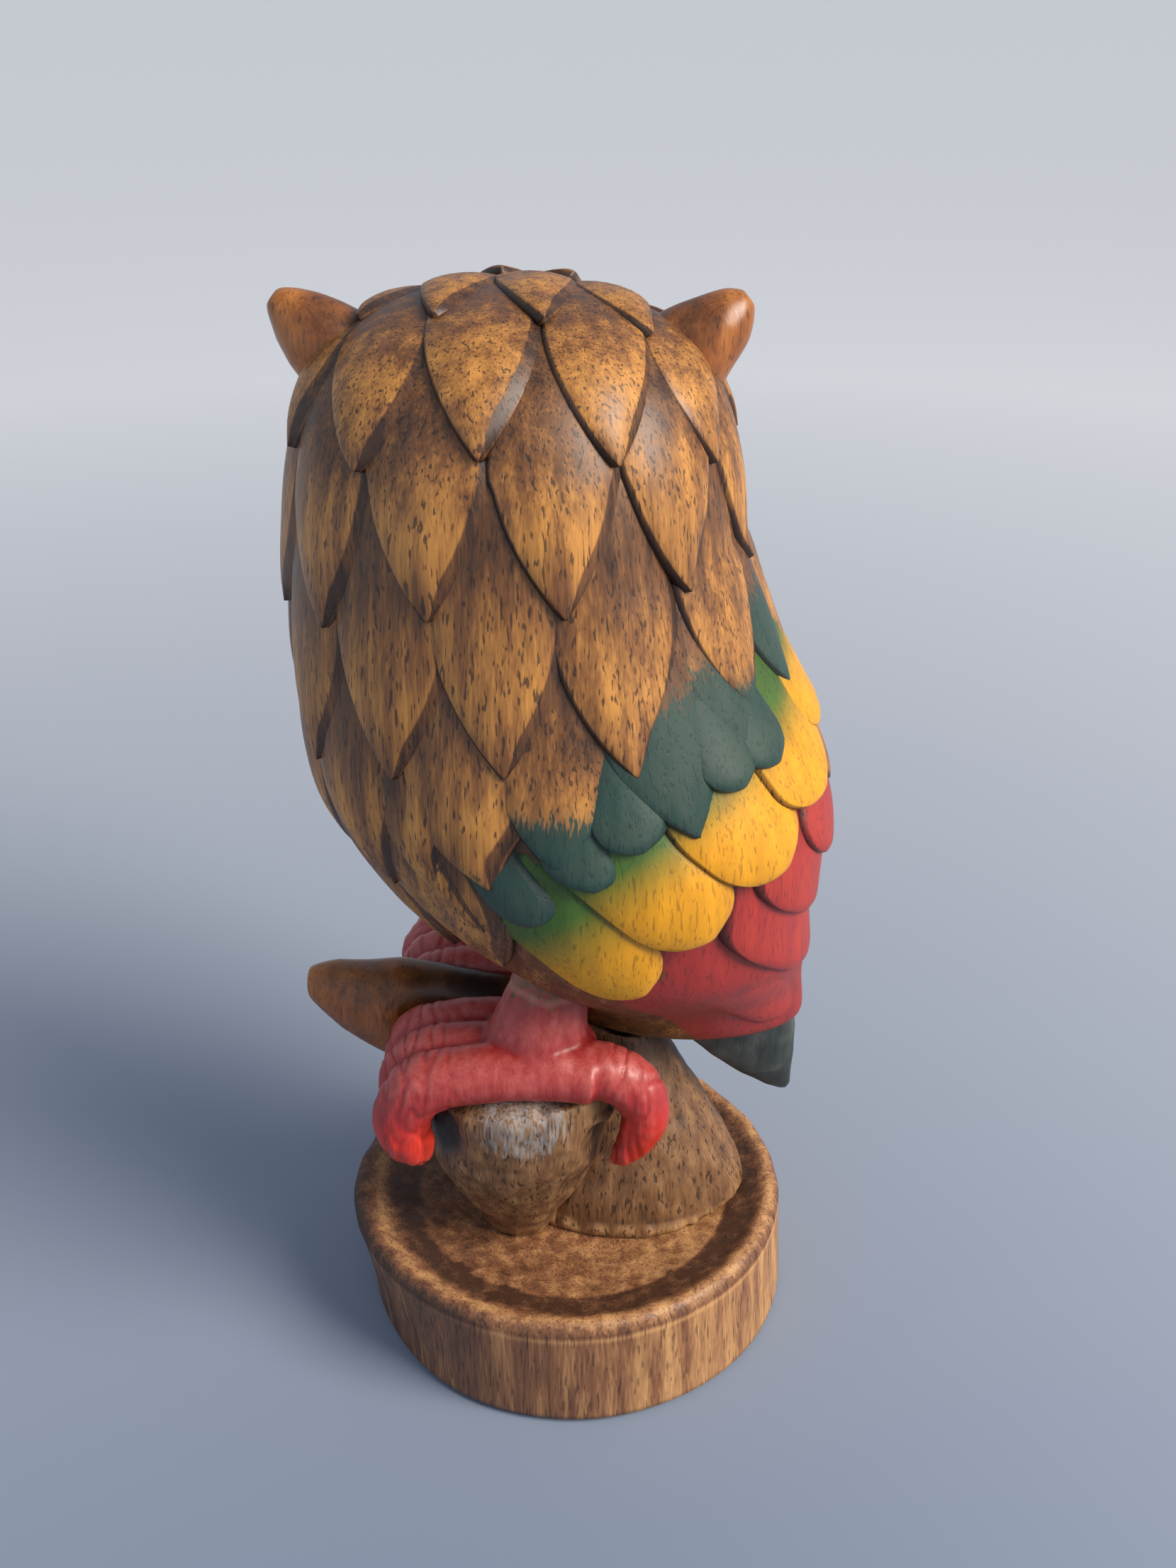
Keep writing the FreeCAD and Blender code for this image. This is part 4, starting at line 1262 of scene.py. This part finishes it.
    def _stub(self, finish: bpy.types.Material) -> bpy.types.Object:
        """The horn-shaped branch stub, clear at its tip, dark towards its root between the feet
        from stain and painted shade, and painted shade along its top under the body.
        """
        form = Carving.melted([node_shell("branch_stub")], 0.55).relax(6)
        form.push(0.8 * cuts(form.points, 9.0, 7.0) - 0.4 + 0.5 * lumps(form.points, 11.0, 1.0))
        forward, height = form.points[:, 0], form.points[:, 2]
        # dark stain and painted shade towards the root, between the feet
        dark = np.clip((34 - forward) / 12, 0, 1) * 0.75
        # painted shade along the top, under the body
        top = np.clip((height - 62 - (forward - 30) * 0.25) / 5, 0, 1) * 0.35
        return form.piece("carved_branch_stub", finish, groove=dark + top,
                          rub=0.2 * np.clip((forward - 38) / 8, 0, 1))


@dataclass
class Foot:
    """A perching foot: a leg, three pleated toes over the knob and a hind toe."""

    side: Side
    mid_side: float = MID_SIDE
    spread: float = 17.0
    toe_line: float = 64.0

    def _toe(self, path: Sequence[tuple[float, float, float]],
             out: float, splay: float, wide: float) -> tuple[np.ndarray, list[tuple[int, ...]]]:
        """One toe: forward place, rise and radius of each station."""
        start = self.mid_side + self.side.value * self.spread
        return tube([(x, start + self.side.value * (out + splay * abs(x - 6) / 28),
                      self.toe_line + z, r, r * wide) for x, z, r in path])

    def build(self, finish: bpy.types.Material) -> None:
        """Make and settle the foot."""
        centre = self.mid_side + self.side.value * self.spread
        front = [(0, 0.6, 5.4), (8, 1.6, 5.6), (16, 1.6, 5.6), (24, 1.0, 5.5), (28.6, -1.2, 5.4),
                 (31.0, -5.6, 5.0), (30.6, -10.5, 4.5), (28.6, -14.4, 3.2), (27.2, -16.2, 1.2)]
        near = [(-4, 1.2, 5.0), (4, 2.4, 5.2), (14, 2.4, 5.2), (22, 1.8, 5.4), (27.6, -0.4, 5.6),
                (30.6, -5.4, 5.4), (30.2, -11.0, 5.0), (27.6, -14.6, 3.6), (26.2, -16.0, 1.4)]
        hind = [(8, 2.0, 5.0), (0, 2.0, 5.2), (-6, 1.2, 5.4), (-10.8, -1.6, 5.2),
                (-13.2, -7.0, 4.7), (-12.2, -13.0, 3.8), (-9.4, -17.6, 2.6), (-7.4, -20.2, 0.8)]
        shells = [self._toe(front, -8.0, -0.5, 0.86), self._toe(front, -0.8, 0.0, 0.86),
                  self._toe(near, 6.6, 1.6, 1.0), self._toe(hind, 4.6, 1.4, 1.0)]
        shells.append(tube([(6, centre, 61, 10.5, 9), (6, centre, 67, 11, 9.5),
                            (5.6, centre - self.side.value * 0.4, 72, 9.0, 8.4),
                            (4.2, centre - self.side.value * 2.4, 78, 7.4, 7.4),
                            (2.0, centre - self.side.value * 5.0, 86, 6.4, 6.4)]))
        form = Carving.melted(shells, 0.5).relax(9)
        x, y, z = form.points.T
        bend = np.clip((x - 20) / 6, 0, 1) + np.clip((-4 - x) / 5, 0, 1)
        along = form.points * [1.0, 0.22, 0.35]
        pleats = np.abs(lumps(along, 2.6, 2.0))
        form.push(-1.3 * np.clip(0.2 - pleats, 0, 1) * (0.25 + bend)
                  + 0.4 * lumps(form.points, 8.0, 3.0) + 0.1 * lumps(form.points, 1.8, 4.0))
        claw = np.clip((61 - z) / 6, 0, 1)
        colour = (Paint.FOOT_RED.rgb() * (1 - claw)[:, None] + Paint.CLAW_RED.rgb() * claw[:, None])
        # painted shade on the undersides of the toes
        inner = np.clip(np.abs(x - 8), 0, 1)
        under = np.clip((59.5 - z) / 2, 0, 1) * ((x > -9.5) & (x < 27)) * inner
        leg_top = np.clip((z - 75) / 7, 0, 1)
        fringe = 0.25 * lumps(form.points, 2.2, 9.0)
        cover = np.clip(1.0 - 0.6 * leg_top + fringe * leg_top, 0, 1)
        seam = np.exp(-((z - 80.5 - 1.2 * lumps(form.points, 6.0, 5.0)) / 0.5) ** 2)
        name = self.side.word + "_foot"
        piece = form.piece("carved_" + name, finish, painted(colour, cover), 0.6 * under,
                           0.28 * np.clip((z - 62) / 5, 0, 1) * (1 - leg_top) + 0.9 * seam, 1.5)
        settle(piece, "foot_paint", name)


@dataclass
class Tail:
    """The pointed tail under the wing tips, flat at its sides, with a groove down its back."""

    columns: int = 64
    squareness: float = 0.5

    def build(self, finish: bpy.types.Material) -> None:
        """Make and settle the tail."""
        stations = [(-27.5, 70.0, 12.0, 7.4), (-29.5, 66.0, 12.4, 7.4), (-31.3, 61.0, 11.4, 6.6),
                    (-34.4, 54.8, 8.4, 5.2), (-37.6, 49.6, 5.2, 3.6), (-40.0, 46.0, 2.7, 2.2),
                    (-41.2, 44.3, 0.9, 0.9)]
        line = np.array(stations)
        places = np.linspace(0, len(line) - 1, 70)
        smooth = np.stack([np.interp(places, range(len(line)), line[:, k]) for k in range(4)], -1)
        angles = np.arange(self.columns) * 2 * math.pi / self.columns
        rings = []
        for forward, height, half, deep in smooth:
            along = np.sign(np.cos(angles)) * np.abs(np.cos(angles)) ** self.squareness * half
            across = np.sign(np.sin(angles)) * np.abs(np.sin(angles)) ** self.squareness * deep
            notch = np.exp(-((across / max(deep, 0.1)) / 0.16) ** 2) * (along < 0) * 0.09 * half
            rings.append(np.stack([forward + along + notch, MID_SIDE + across,
                                   np.full(self.columns, height)], -1))
        points, faces = closed_rings(np.array(rings[::-1]))
        points = points + mesh_normals(points, faces) * (0.3 * lumps(points, 7.0, 4.0))[:, None]
        bare = np.clip((points[:, 2] - 63.5) / 1.5, 0, 1) * np.clip((points[:, 0] + 30) / 4, 0, 1)
        # painted shade in the groove down the tail's back
        groove = np.exp(-((points[:, 1] - MID_SIDE) / 0.6) ** 2) * (points[:, 0] < -34)
        cheek = np.abs(points[:, 1] - MID_SIDE) > 4
        rub = 0.5 * np.clip(lumps(points, 4.0, 2.0), 0, 1) + 0.3 * cheek
        piece = make_piece("carved_tail", points, faces, finish, {
            "paint": painted(Paint.TAIL.rgb(), 1 - bare), "groove": groove, "rub": rub})
        settle(piece, "tail_paint", "tail")


@dataclass
class Head:
    """Ear tufts, eyes, beak and the carved face between them."""

    skin: BirdSkin
    forward: float = 9.0
    mid_side: float = MID_SIDE
    face_turn: float = FACE_TURN
    eye_spread: float = 25.0
    eye_reach: float = 33.6
    eye_height: float = 170.0
    eye_radius: float = 8.8
    eye_columns: int = 56
    face_low: float = 133.0
    face_high: float = 196.5
    face_half: float = 66.0
    face_reach: float = 34.0
    crown_top: float = 199.0

    def _out(self, turn: float) -> np.ndarray:
        """The level direction at a turn."""
        return np.array([math.cos(math.radians(turn)), math.sin(math.radians(turn)), 0.0])

    def _centre(self, side: Side) -> np.ndarray:
        """The middle of an eye."""
        out = self._out(self.face_turn + side.value * self.eye_spread)
        return np.array([self.forward, self.mid_side, self.eye_height]) + out * self.eye_reach

    def build(self) -> None:
        """Make and settle the pieces."""
        bare, eye = BARE_WOOD.build(), EYE_PAINT.build()
        for side in Side:
            settle(self._tuft(side, bare), "bare_wood", side.word + "_ear_tuft")
            settle(self._eye(side, eye), "eye_paint", side.word + "_eye")
        settle(self._beak(bare), "bare_wood", "beak")
        settle(self._face(bare), "bare_wood")

    def _tuft(self, side: Side, finish: bpy.types.Material) -> bpy.types.Object:
        """A horn-like tuft, paler at its tip, with painted light on its outer, lower faces and
        painted shade on its other faces.
        """
        name = side.word + "_ear_tuft"
        form = Carving.melted([node_shell(name)], 0.45).relax(5)
        form.push(0.5 * cuts(form.points, 7.0, 2.0) - 0.25 + 0.3 * lumps(form.points, 6.0, 2.0))
        # painted light and shade by which way each face looks: lighter outward and downward
        outward = mesh_normals(form.points, form.faces) @ np.array([side.value * 0.9, 0.0, -0.45])
        tip = form.near(form.points[np.argmax(form.points[:, 2])], 7.0)
        outer = np.clip(outward * 2.2 + 0.2, 0, 1)
        return form.piece("carved_" + name, finish, groove=0.55 * (1 - outer) - 0.4 * tip,
                          rub=0.25 * outer + 0.3 * tip, contrast=2.0)

    def _eye(self, side: Side, finish: bpy.types.Material) -> bpy.types.Object:
        """A domed eye with a dark rim, a yellow ring and a dark pupil."""
        size = self.eye_radius
        profile = [(0.02, 0.58), (0.2, 0.56), (0.38, 0.5), (0.44, 0.44), (0.62, 0.38),
                   (0.78, 0.29), (0.86, 0.2), (0.93, 0.16), (1.0, 0.02), (0.97, -0.25),
                   (0.6, -0.42), (0.02, -0.45)]
        out = self._out(self.face_turn + side.value * self.eye_spread)
        across = np.cross(np.array([0, 0, 1.0]), out)
        angles = np.arange(self.eye_columns) * 2 * math.pi / self.eye_columns
        rings = [self._centre(side) + out * depth * size
                 + (np.outer(np.cos(angles), across) + np.outer(np.sin(angles), [0, 0, 1.0]))
                 * reach * size for reach, depth in profile]
        points, faces = closed_rings(np.array(rings[::-1]))
        colours = [Paint.PUPIL.rgb() if r < 0.41 or r > 0.82 else Paint.IRIS.rgb()
                   for r, _ in profile][::-1]
        paint = np.ones((len(points), 4))
        paint[:-2, :3] = np.repeat(np.array(colours), self.eye_columns, axis=0)
        paint[-2:, :3] = Paint.PUPIL.rgb()
        zero = np.zeros(len(points))
        return make_piece("carved_" + side.word + "_eye", points, faces, finish,
                          {"paint": paint, "groove": zero, "rub": zero})

    def _beak(self, finish: bpy.types.Material) -> bpy.types.Object:
        """A short hooked beak with a ridge along its top."""
        out = self._out(self.face_turn)
        root = np.array([self.forward, self.mid_side, 0.0])
        path = [(27, 160.5, 6.6, 6.2), (33, 160.0, 6.4, 5.8), (38, 157.0, 5.4, 4.6),
                (41.6, 152.6, 4.0, 3.2), (43.0, 147.8, 2.4, 2.0), (42.6, 144.2, 0.8, 0.8)]
        stations = [(*(root + out * reach)[:2], height, r, w) for reach, height, r, w in path]
        form = Carving.melted([tube(stations)], 0.45).relax(4)
        form.push(0.12 * lumps(form.points, 3.0, 1.0))
        across = (form.points - root) @ np.cross(np.array([0, 0, 1.0]), out)
        return form.piece("carved_beak", finish, groove=0.25 * np.ones(len(across)),
                          rub=0.5 * np.exp(-(across / 1.2) ** 2))

    def _face(self, finish: bpy.types.Material) -> bpy.types.Object:
        """Two shallow discs round the eyes, scored with rays, and a brow between them."""
        rows, columns = 150, 210
        heights = np.linspace(self.face_low, self.face_high, rows)
        turns = np.linspace(-self.face_half, self.face_half, columns)
        turn, height = np.tile(turns, rows), np.repeat(heights, columns)
        rises = np.array([self._rise(h) for h in heights]).repeat(columns)
        flat = np.stack([turn * math.pi / 180 * self.face_reach, height - self.eye_height], -1)
        lift = np.full(len(turn), 1.0)
        ray = np.zeros(len(turn))
        stain = np.zeros(len(turn))
        for side in Side:
            spread = side.value * self.eye_spread * math.pi / 180 * self.face_reach
            eye = flat - [spread, 0]
            away = np.hypot(eye[:, 0], eye[:, 1])
            angle = np.arctan2(eye[:, 1], eye[:, 0])
            mine = side.value * flat[:, 0] > 0
            lift += mine * (1.5 * np.exp(-((away - 17.5) / 1.7) ** 2)
                            - 1.1 * np.clip(1 - (away / 17) ** 6, 0, 1))
            scored = np.clip(1 - np.abs(away - 12.5) / 5, 0, 1) * mine
            ray += scored * np.abs(np.sin(angle * 15)) ** 0.6
            stain += mine * np.exp(-((away - 19.6) / 1.0) ** 2)
            lift -= mine * 1.4 * np.clip(1 - (away / 9.2) ** 8, 0, 1)
        lift += 0.45 * (ray - 0.5)
        brow = np.exp(-(flat[:, 0] / (1.5 + 0.25 * np.clip(flat[:, 1], 0, 40))) ** 2)
        lift += 1.5 * brow * np.clip((flat[:, 1] + 8) / 6, 0, 1)
        border = np.minimum(np.clip((self.face_half - np.abs(turn)) / 7, 0, 1),
                            np.minimum(np.clip((height - self.face_low) / 6, 0, 1),
                                       np.clip((self.face_high - height) / 4, 0, 1)))
        lift = lift * border - 2.2 * (1 - border)
        top = self.skin.place(turn + self.face_turn, rises, lift)
        under = self.skin.place(turn + self.face_turn, rises, np.full(len(turn), -3.4))
        points = np.vstack([top, under])
        count = rows * columns
        front = grid_faces(rows, columns, wrap=False)
        faces: list[tuple[int, ...]] = front + [tuple(count + i for i in reversed(f))
                                                for f in front]
        ring = ([(0, c) for c in range(columns)] + [(r, columns - 1) for r in range(1, rows)]
                + [(rows - 1, c) for c in range(columns - 2, -1, -1)]
                + [(r, 0) for r in range(rows - 2, 0, -1)])
        numbers = [r * columns + c for r, c in ring]
        for a, b in zip(numbers, numbers[1:] + numbers[:1]):
            faces.append((b, a, count + a, count + b))
        # painted shade where the border sinks under the feathers, with stain in the ring round each
        # disc
        hollow = np.clip(0.75 * stain + 0.35 * (1 - border), 0, 1)
        blank = np.zeros(count)
        return make_piece("carved_face", points, faces, finish, {
            "paint": np.zeros((2 * count, 4)), "groove": np.concatenate([hollow, blank]),
            "rub": np.concatenate([0.35 * ray - 0.1, blank])})

    def _rise(self, height: float) -> float:
        """The rise of a height, over the crown's shoulder too."""
        skin = self.skin
        if height <= skin.shoulder:
            return skin.rise_at(height)
        share = min((height - skin.shoulder) / (self.crown_top - skin.shoulder), 1.0)
        return skin.rise_at(skin.shoulder) + skin.crown_length * math.asin(share) / (math.pi / 2)


class Joinery:
    """The hidden dowels and pins, kept from the frame and given their wood."""

    NODES = ("base_dowel", "trunk_dowel", "left_leg_dowel", "right_leg_dowel", "tail_dowel",
             "ear_tuft_pins", "wing_pins")

    def build(self) -> None:
        """Dress the nodes."""
        finish = DOWEL_WOOD.build()
        for name in self.NODES:
            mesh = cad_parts[name].data
            if not mesh.materials:
                mesh.materials.append(finish)
            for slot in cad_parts[name].material_slots:
                slot.material = finish
            LOG.info("%s: dressed", name)


# ------------------------------------------------------------------ set, light and camera

@dataclass
class Studio:
    """A pale floor, soft light and the camera."""

    camera_at: tuple[float, float, float] = (-2.86, 246.95, 246.45)
    pitch_down: float = 28.36
    lens: float = 36.42
    floor_half: float = 40.0

    def build(self) -> None:
        """Make the floor, the lights, the world and the camera."""
        self._floor()
        self._sun("day", (-0.80, 0.36, 0.74), 34.0, 2.1, "fff6ea")
        self._light("key", (-0.55, 0.30, 0.50), 0.35, 4.0, "fff4e6")
        self._light("fill", (0.8, 0.7, 0.5), 1.2, 1.2, "dfe8ff")
        world = bpy.data.worlds.new("studio")
        world.use_nodes = True
        world.node_tree.nodes["Background"].inputs["Color"].default_value = linear("c3cddd")
        world.node_tree.nodes["Background"].inputs["Strength"].default_value = 0.62
        bpy.context.scene.world = world
        bpy.context.scene.view_settings.view_transform = "Standard"
        data = bpy.data.cameras.new("camera")
        data.sensor_fit, data.sensor_height, data.lens = "VERTICAL", 36.0, self.lens
        data.clip_start = 0.01
        camera = bpy.data.objects.new("camera", data)
        camera.location = [c * MM for c in self.camera_at]
        camera.rotation_euler = (math.radians(90 - self.pitch_down), 0, math.pi)
        bpy.context.scene.collection.objects.link(camera)
        bpy.context.scene.camera = camera

    def _floor(self) -> None:
        """A wide matt paper sheet, painted darker near the bird and paler far off as painted light
        falloff.
        """
        size = self.floor_half / MM
        corners = np.array([(-size, -size, 0), (size, -size, 0), (size, size, 0), (-size, size, 0)])
        material = bpy.data.materials.new("matt_background_paper")
        material.use_nodes = True
        tree = material.node_tree
        tree.nodes.clear()
        coords = add_node(tree, "ShaderNodeTexCoord").outputs["Object"]
        # painted light falloff: darker near the bird, paler far off
        distance = add_node(tree, "ShaderNodeVectorMath", {"operation": "DISTANCE"},
                            {1: (0.0, 0.2, 0.0)}, {0: coords}).outputs["Value"]
        away = add_node(tree, "ShaderNodeMapRange", {}, {
            "From Min": 0.08, "From Max": 0.95, "To Min": 0.0, "To Max": 1.0},
            {"Value": distance}).outputs[0]
        colour = add_node(tree, "ShaderNodeMix", {"data_type": "RGBA"}, links={0: away}, values={
            6: linear("73829a"), 7: linear("dfe2e6")}).outputs[2]
        shader = add_node(tree, "ShaderNodeBsdfPrincipled", values={"Roughness": 0.9},
                          links={"Base Color": colour})
        add_node(tree, "ShaderNodeOutputMaterial", links={"Surface": shader.outputs[0]})
        make_piece("floor", corners, [(0, 1, 2, 3)], material)

    def _sun(self, name: str, toward: tuple[float, float, float], angle: float, strength: float,
             colour: str) -> None:
        """Even daylight from one direction, with soft shadows."""
        data = bpy.data.lights.new(name, "SUN")
        data.angle, data.energy = math.radians(angle), strength
        data.color = linear(colour)[:3]
        lamp = bpy.data.objects.new(name, data)
        lamp.rotation_euler = Vector(toward).to_track_quat("Z", "Y").to_euler()
        bpy.context.scene.collection.objects.link(lamp)

    def _light(self, name: str, place: tuple[float, float, float], size: float, power: float,
               colour: str) -> None:
        """A square soft box that looks at the object."""
        data = bpy.data.lights.new(name, "AREA")
        data.size, data.energy, data.color = size, power, linear(colour)[:3]
        lamp = bpy.data.objects.new(name, data)
        lamp.location = place
        aim = Vector((0, 0, 0.1)) - Vector(place)
        lamp.rotation_euler = aim.to_track_quat("-Z", "Y").to_euler()
        bpy.context.scene.collection.objects.link(lamp)


def main() -> None:
    """Build every sub-assembly in order."""
    logging.basicConfig(level=logging.INFO, format="%(name)s %(message)s")
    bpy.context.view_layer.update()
    core = BirdSkin(comb_side=MID_SIDE, past_top=0.0)
    Perch().build()
    foot_finish = FOOT_PAINT.build()
    for side in Side:
        Foot(side).build(foot_finish)
    Tail().build(TAIL_PAINT.build())
    Plumage(BirdSkin(), core).build()
    Head(core).build()
    Joinery().build()
    Studio().build()


if __name__ == "__main__":
    main()
